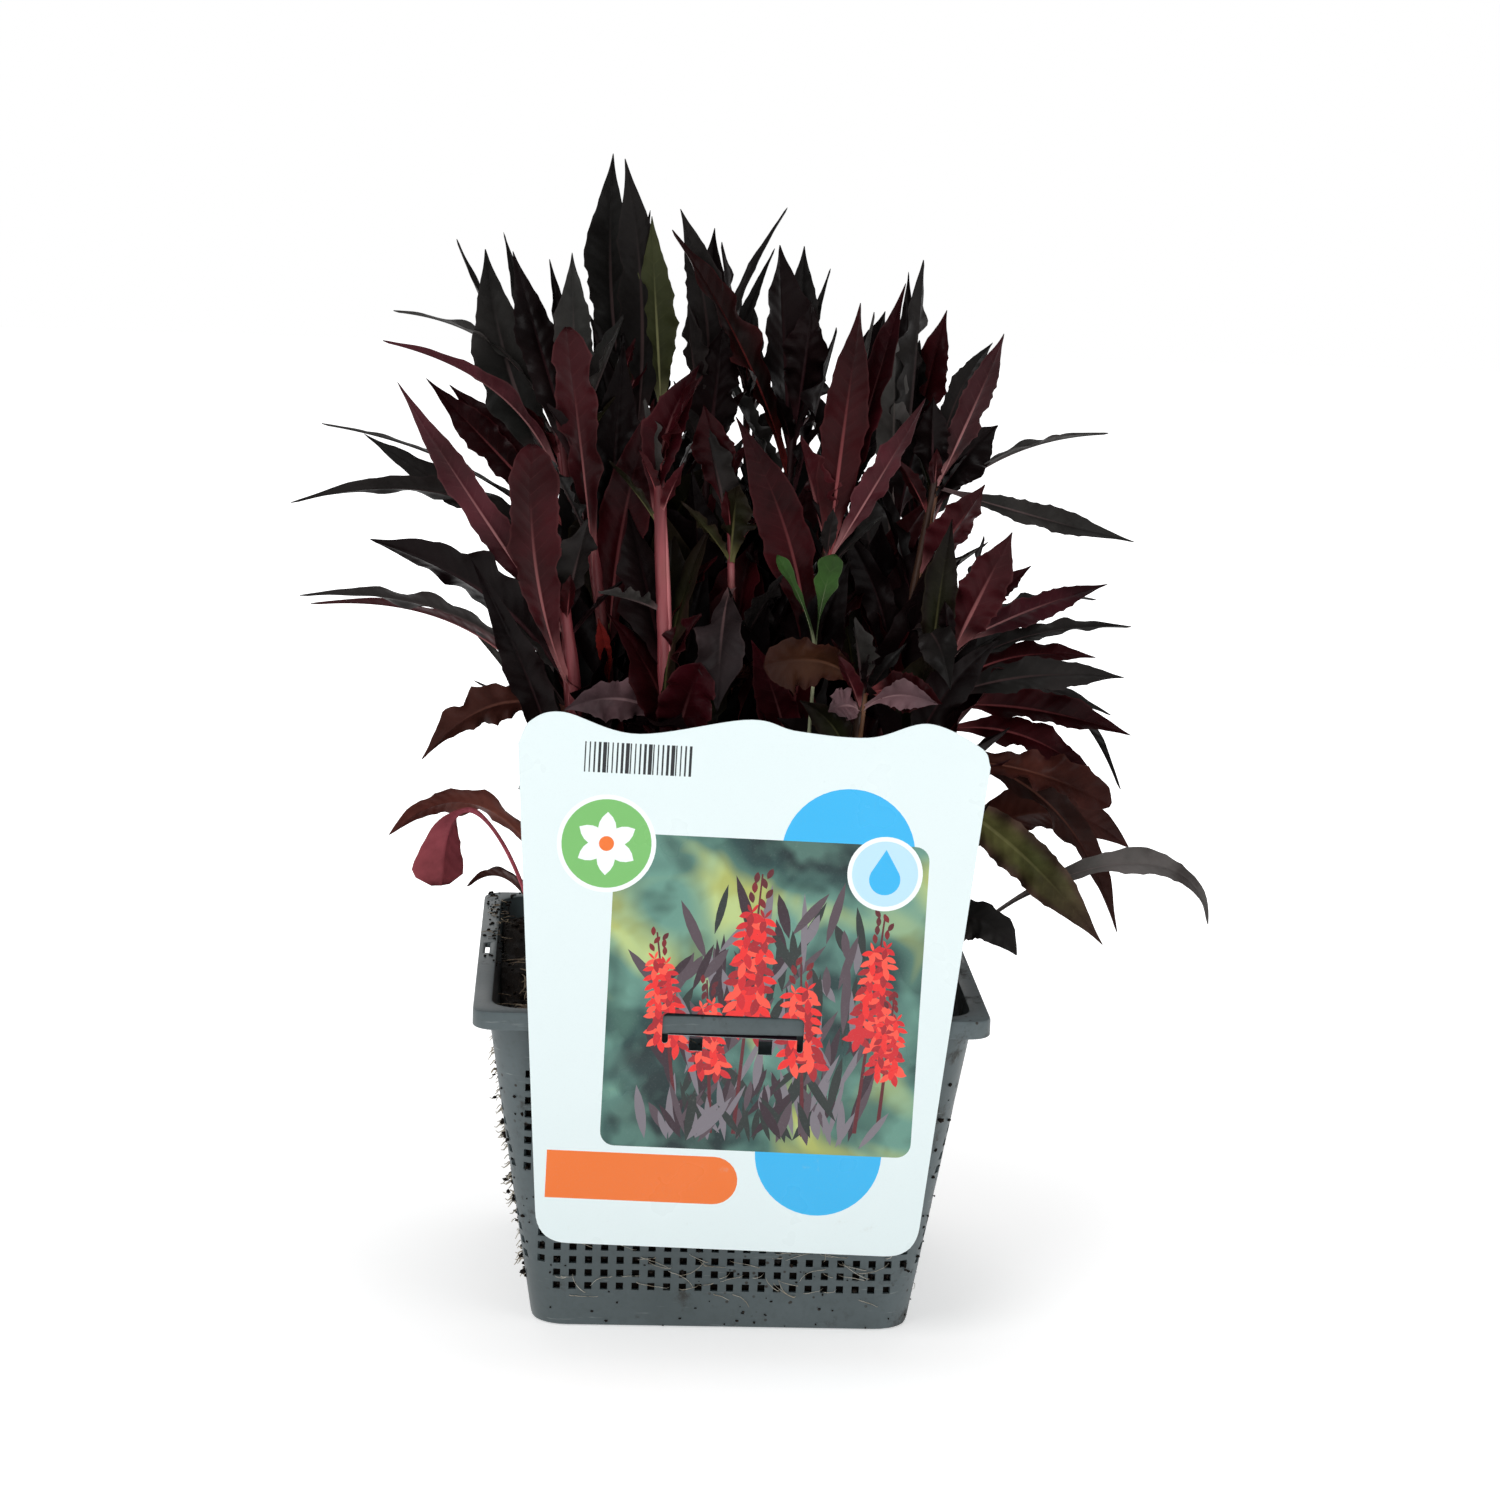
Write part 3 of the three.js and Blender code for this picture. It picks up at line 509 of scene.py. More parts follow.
def tube(path, radii, sides):
    """A closed tube along a path, with a radius at each of its points."""
    path = np.asarray(path, float)
    tangent = unit(np.gradient(path, axis=0))
    hint = np.array([1.0, 0, 0]) if abs(tangent[0][0]) < 0.8 else np.array([0, 1.0, 0])
    side = unit(np.cross(hint, tangent))
    other = np.cross(tangent, side)
    angle = np.arange(sides) / sides * 2 * math.pi
    radii = np.asarray(radii, float)[:, None, None]
    ring = side[:, None] * np.cos(angle)[None, :, None]
    ring = ring + other[:, None] * np.sin(angle)[None, :, None]
    points = (path[:, None] + ring * radii).reshape(-1, 3)
    foot, quads, head = ring_faces(sides, len(path))
    return points, quads + [foot, head]


# ---------- the plant ----------
# A shoot rises from `foot` to `apex`. Heights on its stem run from 0 at the soil to 1.
# `own` lists leaves that the imported model has too: (height on the stem, tip x, tip y, tip z,
# width, arch, roll in degrees, tone). `rest` gives the count, length, width, lowest height
# and first heading of those that stand round it by rule, and `left_out` the places, in both
# lists together, of leaves that aren't shown. `seen` lists leaves that only the visual model
# has. The pixel of each one's tip, its width and its turn from facing the camera were picked
# on the photograph, and its depth along Y is guessed.
Seen = namedtuple("Seen", "at pixel depth width arch turn tone")
TURN_SHARE = 0.35  # of the turn listed for a seen leaf, so that it goes on facing the camera
SHOOTS = [
    {
        "foot": (-50, -38), "apex": (-62, -40, 258), "radius": 2.9, "rest": (4, 52, 12, 0.4, 250),
        "stem": "pink",
        "own": [
            (0.78, -74, -52, 313, 18, -0.14, 43, "plum blunt"),
            (0.91, -121, -44, 332, 12, -0.02, 60, "mauve"),
            (0.78, -130, -36, 276, 24, 0.22, 65, "ink"), (0.7, -155, -26, 254, 12, 0.33, 40, "soot"),
            (0.62, -152, -12, 249, 10, 0.38, 25, "plum"),
            (0.72, -110, -50, 201, 15, 0.42, 60, "umber"),
        ],
        "seen": [Seen(0.3, (470, 560), -58, 13, 0.08, 40, "ink")],
    },
    {
        "foot": (-46, -8), "apex": (-66, 0, 318), "radius": 1.7, "rest": (4, 56, 14, 0.45, 80),
        "stem": "pink",
        "own": [
            (0.87, -93, 14, 375, 20, -0.15, -60, "grey"), (0.86, -128, -8, 343, 7, 0.3, 20, "mauve"),
            (0.82, -105, 14, 326, 13, 0.05, -50, "wine"), (0.72, -160, -4, 284, 10, 0.34, 40, "soot"),
            (0.78, -135, 8, 308, 12, -0.05, -50, "soot"), (0.77, -151, 20, 310, 6, 0.18, 10, "grey"),
            (0.95, -126, 26, 351, 7, 0.35, 20, "grey"), (0.95, -104, 34, 377, 5, -0.05, 0, "soot"),
            (0.97, -87, 34, 380, 6, 0, -20, "soot"), (0.8, -113, 4, 329, 12, 0.02, -50, "wine"),
        ],
    },
    {
        "foot": (-38, -26), "apex": (-60, -22, 322), "radius": 2.1, "rest": (4, 56, 14, 0.4, 300),
        "stem": "pink",
        "own": [
            (0.72, -63, -34, 352, 15, 0, 25, "plum blunt"), (0.93, -62, -8, 376, 13, 0, 0, "grey"),
            (0.9, -70, 0, 373, 9, 0, 0, "ink"), (0.88, -83, 6, 375, 14, 0, -40, "ink"),
            (0.62, -43, -20, 346, 20, 0, 60, "ink"),
        ],
        "seen": [
            Seen(0.5, (655, 398), -34, 18, 0.12, -35, "wine"),
            Seen(0.5, (598, 618), -58, 5, 0.2, 0, "ember"),
            Seen(0.3, (520, 520), -34, 17, 0.1, 20, "ink"),
        ],
    },
    {
        "foot": (-20, 4), "apex": (-44, 8, 338), "radius": 1.8, "rest": (7, 62, 15, 0.35, 200),
        "left_out": [10],
        "own": [
            (0.93, -48, 22, 410, 16, -0.18, -30, "soot"), (0.84, -44, 0, 409, 17, 0.14, 45, "soot"),
            (0.95, -34, 26, 390, 8, 0, 0, "ink"), (0.55, -54, -12, 350, 20, 0, 45, "ink"),
        ],
        "seen": [Seen(0.5, (620, 470), -10, 20, 0.1, -20, "ink")],
    },
    {
        "foot": (-22, -46), "apex": (-30, -38, 303), "radius": 2.8, "rest": (3, 44, 11, 0.45, 260),
        "stem": "pink",
        "own": [
            (0.98, -16, -50, 338, 14, 0.15, 50, "wine"), (0.75, -50, -52, 262, 9, 0.1, 30, "grey"),
            (0.6, -14, -56, 256, 13, 0.2, 50, "plum"),
        ],
        "seen": [
            Seen(0.55, (563, 711), -62, 14, 0.26, 0, "pale plain"),
            Seen(0.45, (702, 662), -62, 19, 0.1, 0, "plum blunt"),
            Seen(0.88, (700, 364), -44, 15, 0.22, -30, "plum"),
            Seen(0.35, (708, 560), -22, 17, 0.15, -20, "ink"),
        ],
    },
    {
        "foot": (-10, 18), "apex": (-28, 12, 318), "radius": 1.6, "rest": (7, 62, 14, 0.4, 20),
        "own": [(0.98, -34, 4, 389, 13, 0, 20, "olive")],
        "seen": [Seen(0.6, (700, 480), 6, 19, 0.1, 0, "ink")],
    },
    {
        "foot": (-6, -6), "apex": (-14, 4, 325), "radius": 1.7, "rest": (7, 60, 14, 0.35, 140),
        "own": [
            (0.95, -24, 0, 392, 15, 0.15, 60, "soot"), (0.93, -11, 14, 385, 14, 0, 0, "ink"),
            (0.86, -8, -12, 352, 18, 0.05, -20, "ink"), (0.97, 16, 34, 392, 4, 0.14, 0, "soot"),
            (0.95, 12, 36, 377, 5, 0.05, 0, "soot"),
        ],
        "seen": [Seen(0.5, (690, 560), -22, 18, 0.2, 20, "ink")],
    },
    {
        "foot": (8, 38), "apex": (4, 50, 330), "radius": 1.6, "rest": (10, 68, 14, 0.35, 70),
        "seen": [Seen(0.97, (705, 352), 24, 13, 0.3, 30, "slate")],
    },
    {
        "foot": (14, 2), "apex": (20, 8, 322), "radius": 1.8, "rest": (6, 60, 14, 0.35, 320),
        "own": [
            (0.9, 12, 8, 380, 22, 0, 60, "ink"), (0.92, 22, 24, 379, 15, 0, 0, "soot"),
            (0.88, -27, -8, 385, 16, 0.1, -50, "dusk"), (0.85, 33, -2, 352, 20, 0, 30, "ink"),
            (0.97, 32, 26, 371, 4, 0.1, 0, "soot"),
        ],
        "seen": [
            Seen(0.6, (765, 560), -20, 17, 0.15, -30, "ink"),
            Seen(0.45, (812, 470), -16, 18, 0.1, 30, "wine"),
        ],
    },
    {
        "foot": (20, -40), "apex": (31, -36, 285), "radius": 1.7, "rest": (3, 46, 13, 0.4, 260),
        "stem": "brown",
        "own": [
            (0.9, 38, -44, 364, 16, 0, -30, "wine"), (0.93, 62, -44, 332, 10, 0, -60, "mauve"),
            (0.95, 55, -26, 370, 13, 0, 40, "plum"), (0.97, 44, -30, 360, 9, 0, 0, "sage"),
        ],
        "seen": [
            Seen(0.62, (737, 417), -48, 17, 0.16, -40, "wine"),
            Seen(0.4, (752, 640), -66, 14, 0.15, -40, "plum"),
            Seen(0.5, (850, 559), -44, 17, 0.12, 30, "ink"),
        ],
    },
    {
        "foot": (44, 0), "apex": (62, 6, 314), "radius": 1.8, "rest": (6, 58, 14, 0.35, 100),
        "own": [
            (0.9, 63, -4, 377, 18, 0, 20, "soot"), (0.92, 74, 16, 358, 14, 0, 40, "wine"),
            (0.94, 60, 22, 371, 7, 0, 0, "ink"), (0.8, 53, -10, 356, 12, 0, 30, "sage"),
        ],
        "seen": [
            Seen(0.5, (880, 520), -10, 20, 0.1, 20, "ink"),
            Seen(0.35, (920, 600), -12, 18, 0.2, 40, "ink"),
        ],
    },
    {
        "foot": (50, -22), "apex": (70, -14, 303), "radius": 1.7, "rest": (4, 52, 13, 0.35, 200),
        "stem": "brown",
        "own": [
            (0.97, 91, -20, 353, 12, 0, -60, "mauve"), (0.95, 92, 24, 346, 9, 0.3, 30, "soot"),
            (0.92, 93, 4, 318, 16, 0.15, 50, "ink"), (0.93, 135, 16, 315, 6, 0.2, 10, "grey"),
            (0.97, 140, -26, 281, 9, -0.02, 50, "grey"), (0.8, 86, -26, 300, 16, 0, -40, "plum"),
        ],
        "seen": [
            Seen(0.7, (950, 690), -54, 13, 0.5, 41, "soot"),
            Seen(0.5, (838, 518), -38, 12, 0.25, -40, "ink"),
            Seen(0.4, (960, 560), -30, 18, 0.2, 40, "ink"),
        ],
    },
    {
        "foot": (52, -42), "apex": (78, -30, 252), "radius": 1.6, "rest": (2, 42, 12, 0.6, 240),
        "own": [
            (0.9, 94, -46, 286, 17, 0, -50, "plum"), (0.95, 105, -16, 270, 10, 0.05, 30, "wine"),
            (0.93, 137, 12, 260, 10, 0.05, 40, "mauve"), (0.88, 135, 26, 252, 7, 0.25, 10, "soot"),
            (0.86, 145, 2, 246, 9, 0.16, 20, "soot"), (0.82, 131, -8, 236, 12, 0.22, 50, "wine"),
            (0.8, 139, -26, 232, 13, 0.14, 55, "soot"),
        ],
        "seen": [
            Seen(0.75, (952, 520), -44, 12, 0.06, -30, "moss"),
            Seen(0.5, (1000, 640), -50, 16, 0.25, 45, "ink"),
        ],
    },
    {
        "foot": (60, -14), "apex": (76, -8, 226), "radius": 1.6, "rest": (2, 42, 12, 0.6, 90),
        "own": [
            (0.97, 140, 8, 212, 11, 0.2, 40, "soot"), (0.93, 131, 24, 207, 9, 0.25, 10, "grey"),
            (0.92, 145, -10, 208, 13, 0.12, 55, "wine"), (0.9, 149, 34, 179, 10, 0.5, 10, "soot"),
            (0.84, 134, -18, 191, 12, 0.26, 45, "wine"),
            (0.74, 136, -30, 186, 14, 0.16, 60, "rust blunt"),
            (0.68, 133, -48, 139, 17, 0.14, 60, "leafgreen"),
            (0.78, 144, -8, 134, 16, 0.34, 50, "umber"),
        ],
        "seen": [Seen(0.5, (990, 590), -24, 16, 0.15, 40, "ink")],
    },
    {
        "foot": (2, -30), "apex": (-4, -28, 288), "radius": 1.6, "rest": (5, 48, 13, 0.4, 30),
        "stem": "pink",
        "own": [
            (0.9, -2, -44, 300, 13, 0.2, -40, "moss"), (0.62, -10, -58, 232, 16, 0.5, 0, "umber"),
        ],
        "seen": [
            Seen(0.97, (703, 406), -40, 15, 0.05, -20, "wine"),
            Seen(0.85, (716, 712), -64, 18, 0.5, 15, "slate"),
            Seen(0.3, (770, 600), -40, 17, 0.1, 20, "ink"),
        ],
    },
    {
        "foot": (34, -58), "apex": (44, -56, 236), "radius": 1.4, "rest": (2, 34, 11, 0.7, 100),
        "stem": "brown",
        "own": [
            (0.95, 70, -66, 228, 13, 0.2, 60, "wine"), (0.9, 30, -70, 225, 11, 0.25, -50, "pale"),
        ],
        "seen": [
            Seen(0.96, (762, 668), -74, 19, 0.3, -20, "bark blunt"),
            Seen(0.9, (938, 705), -72, 10, 0.3, 20, "pale"),
            Seen(0.7, (800, 700), -70, 11, 0.3, -31, "moss"),
        ],
    },
    {
        "foot": (-44, 34), "apex": (-58, 44, 300), "radius": 1.6, "rest": (11, 66, 14, 0.3, 150),
    },
    {
        "foot": (-14, 54), "apex": (-18, 70, 296), "radius": 1.6, "rest": (11, 64, 14, 0.3, 60),
    },
    {
        "foot": (30, 26), "apex": (40, 36, 312), "radius": 1.6, "rest": (11, 66, 14, 0.3, 10),
    },
    {
        "foot": (54, 40), "apex": (72, 52, 284), "radius": 1.6, "rest": (11, 62, 14, 0.3, 330),
    },
]

SEEDLING = {
    "foot": (22, -60),
    "fork": (26, -58, 245),
    "leaves": [((11, -62, 278), 4.6, 55, "bud"), ((31, -63, 279), 10, -35, "spoon")],
}

# Each tone is (blade, rib and stalk), with a third colour where the margin differs.
TONES = {
    "ink": (srgb(34, 21, 22), srgb(68, 38, 42)),
    # Partly the leaves' own colour and partly painted sheen: soot and grey are lighter, greyer blades
    # that stand for the gloss that the leaf material's low specular leaves out.
    "soot": (srgb(52, 47, 46), srgb(84, 64, 64)),
    "grey": (srgb(72, 68, 66), srgb(110, 90, 90)),
    "sage": (srgb(122, 114, 112), srgb(136, 120, 116)),
    "moss": (srgb(50, 50, 30), srgb(108, 104, 66), srgb(42, 28, 25)),
    "olive": (srgb(102, 103, 66), srgb(168, 166, 118)),
    "leafgreen": (srgb(138, 136, 82), srgb(150, 146, 98), srgb(112, 80, 74)),
    "wine": (srgb(68, 15, 21), srgb(160, 84, 86)),
    "plum": (srgb(78, 18, 27), srgb(184, 116, 116)),
    "mauve": (srgb(90, 34, 44), srgb(188, 130, 130)),
    "rose": (srgb(224, 104, 122), srgb(210, 120, 130), srgb(176, 80, 88)),
    "pale": (srgb(148, 112, 118), srgb(190, 154, 156)),
    "slate": (srgb(76, 62, 64), srgb(122, 94, 94)),
    "umber": (srgb(80, 42, 36), srgb(122, 78, 66)),
    "bark": (srgb(92, 56, 38), srgb(106, 72, 54), srgb(72, 38, 30)),
    "ember": (srgb(150, 44, 40), srgb(160, 74, 66)),
    "rust": (srgb(114, 60, 50), srgb(144, 92, 76), srgb(86, 42, 38)),
    "brick": (srgb(156, 80, 68), srgb(150, 96, 80), srgb(112, 54, 48)),
    "dusk": (srgb(40, 22, 20), srgb(132, 50, 48), srgb(64, 20, 22)),
    "green": (srgb(46, 82, 28), srgb(176, 180, 146)),
}
REST_TONES = ["ink", "soot", "wine", "ink", "moss", "plum", "soot", "wine", "ink", "grey"]
# The high tones are the grey and sooty ones, so the top leaves carry that painted sheen where the
# lights above fall on them.
HIGH_TONES = ["ink", "soot", "grey", "ink", "soot"]  # for the leaves that reach the top
FILL_TONES = ["ink", "ink", "wine", "soot", "ink", "wine", "moss", "ink"]

# Outlines of leaves, as (place from root to tip, share of the greatest half width).
LEAF_PROFILE = [
    (0, 0.16), (0.1, 0.2), (0.22, 0.46), (0.36, 0.84), (0.5, 1.0), (0.63, 0.97),
    (0.76, 0.76), (0.87, 0.4), (0.95, 0.13), (1, 0.02),
]
LONG_PROFILE = [
    (0, 0.17), (0.15, 0.17), (0.3, 0.32), (0.45, 0.74), (0.6, 1.0), (0.74, 0.88),
    (0.87, 0.46), (0.96, 0.12), (1, 0.02),
]
BLUNT_PROFILE = [
    (0, 0.17), (0.14, 0.19), (0.3, 0.42), (0.48, 0.8), (0.66, 1.0), (0.82, 0.97),
    (0.92, 0.8), (0.975, 0.5), (1, 0.14),
]
STALKED_PROFILE = [
    (0, 0.1), (0.3, 0.1), (0.42, 0.22), (0.55, 0.7), (0.68, 1.0), (0.82, 0.88),
    (0.92, 0.52), (0.98, 0.16), (1, 0.03),
]
HANGING_PROFILE = [
    (0, 0.2), (0.72, 0.2), (0.78, 0.32), (0.86, 0.62), (0.93, 0.94), (0.965, 1.0),
    (0.99, 0.74), (1, 0.34),
]
SPOON_PROFILE = [
    (0, 0.13), (0.48, 0.14), (0.6, 0.36), (0.74, 0.88), (0.86, 1.0), (0.95, 0.74), (1, 0.06),
]
BUD_PROFILE = [
    (0, 0.3), (0.3, 0.26), (0.5, 0.3), (0.62, 0.62), (0.69, 0.5), (0.74, 0.62),
    (0.85, 1.0), (0.95, 0.8), (1, 0.1),
]
# A tone may be followed by the name of an outline.
OUTLINES = {
    "": LEAF_PROFILE, "plain": LEAF_PROFILE, "blunt": BLUNT_PROFILE, "spoon": SPOON_PROFILE,
    "bud": BUD_PROFILE,
}
# Leaves that rise from the crown on their own stalks.
CROWN_LEAVES = [
    {"foot": (-52, -58), "tip": (-121, -52, 174), "width": 13, "arch": 0.84, "roll": 50,
     "tone": "brick"},
    {"foot": (-62, -60), "tip": (-102, -68, 160), "width": 20, "arch": 1.0, "roll": 74,
     "tone": "rose", "over": 1.0, "twist": -50, "outline": HANGING_PROFILE},
    {"foot": (-60, -30), "tip": (-94, -26, 150), "width": 10, "arch": 0.8, "roll": 0,
     "tone": "umber"},
    {"foot": (64, -50), "tip": (100, -66, 139), "width": 16, "arch": 0.95, "roll": 50,
     "tone": "soot"},
    {"foot": (66, -30), "tip": (175, -22, 141), "width": 10.5, "arch": 0.55, "roll": 35,
     "tone": "sage", "over": 0.95},
    {"foot": (66, 4), "tip": (150, 14, 161), "width": 22, "arch": 0.75, "roll": 45,
     "tone": "rust"},
    {"foot": (20, 66), "tip": (44, 128, 150), "width": 16, "arch": 0.7, "roll": 0,
     "tone": "umber"},
    {"foot": (-40, 60), "tip": (-78, 118, 156), "width": 15, "arch": 0.7, "roll": 0,
     "tone": "moss"},
]

# Where the lines along a leaf run, from its midrib at 0 to its edge at 1.
HALF_COLUMNS = [0.1, 0.34, 0.6, 0.82, 1.0]
FILLER_COLUMNS = [0.12, 0.5, 0.8, 1.0]
YOUNG_COLUMNS = [0.15, 0.6, 1.0]
BLADE_THICK = 0.35
RIB_THICK = 0.75
# How many rows of faces each kind of leaf has from its root to its tip.
OWN_ROWS, REST_ROWS, SEEN_ROWS, FILLER_ROWS = 48, 32, 44, 24
CROWN_LEAF_ROWS, SEED_LEAF_ROWS, YOUNG_LEAF_ROWS = 60, 36, 18
# Where the seeds of each kind of leaf start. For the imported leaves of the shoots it's 0, with
# SHOOT_SEEDS more for each shoot.
SHOOT_SEEDS, EXTRA_LEAF_SEEDS, YOUNG_LEAF_SEEDS = 1000, 100, 50
CROWN_LEAF_SEED, SEED_LEAF_SEED = 5000, 9000
FILLER_SEED, YOUNG_LEAF_SEED, SEEN_SEED = 40000, 70000, 80000
EDGE_LIFT = 0.3
VEIN_PITCH = 5.0
VEIN_START = 20  # keeps the count of veins above 0
TOOTH = 0.75  # the longest tooth of a leaf's edge
TOOTH_SPACING = 3  # rows
TEETH = 80  # drawn for each edge, which is more than the longest leaf uses
FILLERS = 9
YOUNG_LEAVES = 6
HIGH_LEAF = 325  # a leaf with its tip above this takes one of the high tones
TIP_MATCH = 1.2  # how far a leaf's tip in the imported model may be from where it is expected


def stem_controls(foot, apex):
    base = np.array([foot[0], foot[1], SOCKET_FLOOR + SEAT_GAP])
    end = np.array(apex, float)
    middle = np.array([foot[0], foot[1], (base[2] + end[2]) / 2])
    return [base, middle, end]


def stem_share(controls, at):
    """Where a height on the stem lies on its curve, from 0 at its foot to 1."""
    base, end = controls[0][2], controls[2][2]
    start = (SOIL_LEVEL - base) / (end - base)
    return start + (1 - start) * at


def stem_point(controls, at):
    """The same point on the stem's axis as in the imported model, whose stems are straight
    between their stations."""
    t = stem_share(controls, at)
    upper = max(1, next(i for i, station in enumerate(STEM_STATIONS) if station >= t))
    low, high = STEM_STATIONS[upper - 1], STEM_STATIONS[upper]
    points, _ = bezier(controls, [low, high])
    return points[0] + (points[1] - points[0]) * (t - low) / (high - low)


def seen_place(pixel, depth):
    """The place that shows at a pixel of the photograph and lies at `depth` along Y."""
    right, up, back = (np.array(axis) for axis in camera_axes())
    focal = CAMERA_LENS / CAMERA_SENSOR * PHOTO_SIZE
    across, down = np.array(pixel) - PHOTO_SIZE / 2
    ray = right * across / focal - up * down / focal - back
    place = np.array(CAMERA_PLACE)
    return place + ray * (depth - place[1]) / ray[1]


def facing_roll(chord, turn):
    """The roll, in whole degrees, of a leaf turned by `turn` from facing the camera."""
    chord = unit(chord)
    level = np.cross(UP, unit(chord * [1, 1, 0]))
    upper = unit(np.cross(chord, level))
    back = np.array(camera_axes()[2])
    across = unit(np.cross(chord, back))
    if np.cross(chord, across) @ back < 0:
        across = -across
    roll = math.degrees(math.atan2(across @ upper, across @ level)) + turn
    return (round(roll) + 180) % 360 - 180


def leaf_controls(root, tip, arch):
    chord = tip - root
    level = unit(np.cross(UP, chord))
    bow = np.cross(chord, level) * arch
    return [root, root + chord * 0.45 + bow, tip]


def stalk_controls(root, tip, arch, over=0.55):
    chord = tip - root
    lift = arch * np.linalg.norm(chord)
    return [root, root + UP * 0.9 * lift, root + chord * over + UP * 0.8 * lift, tip]


class LeafShape:
    """How one leaf departs from a flat blade, drawn from a seed."""

    def __init__(self, seed, ripple=1.0, fold=None):
        pick = random.Random(seed)
        self.fold = pick.uniform(0.15, 0.65) if fold is None else fold
        self.curl = pick.uniform(0.0, 0.35)
        self.twist = pick.uniform(-24, 24)
        self.ripple = ripple * pick.uniform(0.18, 0.44)
        self.ripple_count = pick.uniform(2.6, 4.6)
        self.ripple_phase = [pick.uniform(0, 6.28), pick.uniform(0, 6.28)]
        self.sway = pick.uniform(-0.05, 0.05)
        self.lobes = pick.uniform(0.04, 0.11)
        self.lobe_phase = [pick.uniform(0, 6.28), pick.uniform(0, 6.28)]
        self.teeth = [[pick.uniform(0.2, 1.0) for _ in range(TEETH)] for _ in range(2)]
        self.shade = pick.uniform(0.4, 0.8)


def leaf_reach(shape, t, half, place, firm, tooth):
    """How far across from the midrib one cut along the leaf runs, with its lobes and teeth."""
    side, wide = int(place >= 0), abs(place)
    bumps = np.sin(9 * t + shape.lobe_phase[side]) + 0.7 * np.sin(26 * t + shape.sway * 90)
    bumps = bumps + 0.5 * np.sin(47 * t + 3 * shape.lobe_phase[1 - side])
    reach = half * place * (1 + 1.25 * shape.lobes * bumps * wide * firm)
    if wide == 1.0:
        row = np.arange(len(t))
        spike = np.array(shape.teeth[side])[row // TOOTH_SPACING]
        saw = np.where(row % TOOTH_SPACING == side, spike, 0.0)
        reach = reach + np.sign(place) * tooth * saw
    return reach


def leaf_lift(shape, t, half, place, bell):
    """How far above the midrib's line one cut along the leaf runs, with its ripples."""
    side, wide = int(place >= 0), abs(place)
    turns = 2 * math.pi * shape.ripple_count * t
    wave = np.sin(turns + shape.ripple_phase[side])
    wave = wave * 0.6 + 0.55 * np.sin(1.73 * turns + shape.ripple_phase[1 - side])
    lift = EDGE_LIFT * wide + shape.fold * half * wide
    lift = lift - shape.curl * half * wide ** 2
    lift = lift + shape.ripple * half * wave * wide ** 2 * bell
    return lift - 0.25 * (wide == 0) * bell


def grid_faces(index):
    """Faces between the points of a grid, whose numbers are given row by row."""
    a, b = index[:-1, :-1].ravel(), index[:-1, 1:].ravel()
    c, d = index[1:, 1:].ravel(), index[1:, :-1].ravel()
    return np.stack([a, b, c, d], axis=1)


def blade_values(t, wide, half, length):
    """Each point's place across and along the leaf, and the count of side veins passed."""
    vein = t[:, None] * length / VEIN_PITCH - wide[None] * half[:, None] * 0.9 / VEIN_PITCH
    return np.stack([
        np.broadcast_to(wide[None], vein.shape), np.broadcast_to(t[:, None], vein.shape),
        vein + VEIN_START, np.ones_like(vein),
    ], axis=-1)


def leaf_colours(tone, shade, blade):
    """The values that the leaf's material reads at each point."""
    colour, rib, *margin = TONES[tone]
    if margin:
        outer = np.maximum(2.0 * blade[:, 0:1] - 0.85, 2.6 * blade[:, 1:2] - 1.5).clip(0, 1)
        colour = np.array(colour) * (1 - outer) + np.array(margin[0]) * outer
    shades = np.array([shade] * 3 + [1.0])
    return {"tone": np.array(colour) * shades, "rib": np.array(rib), "blade": blade}


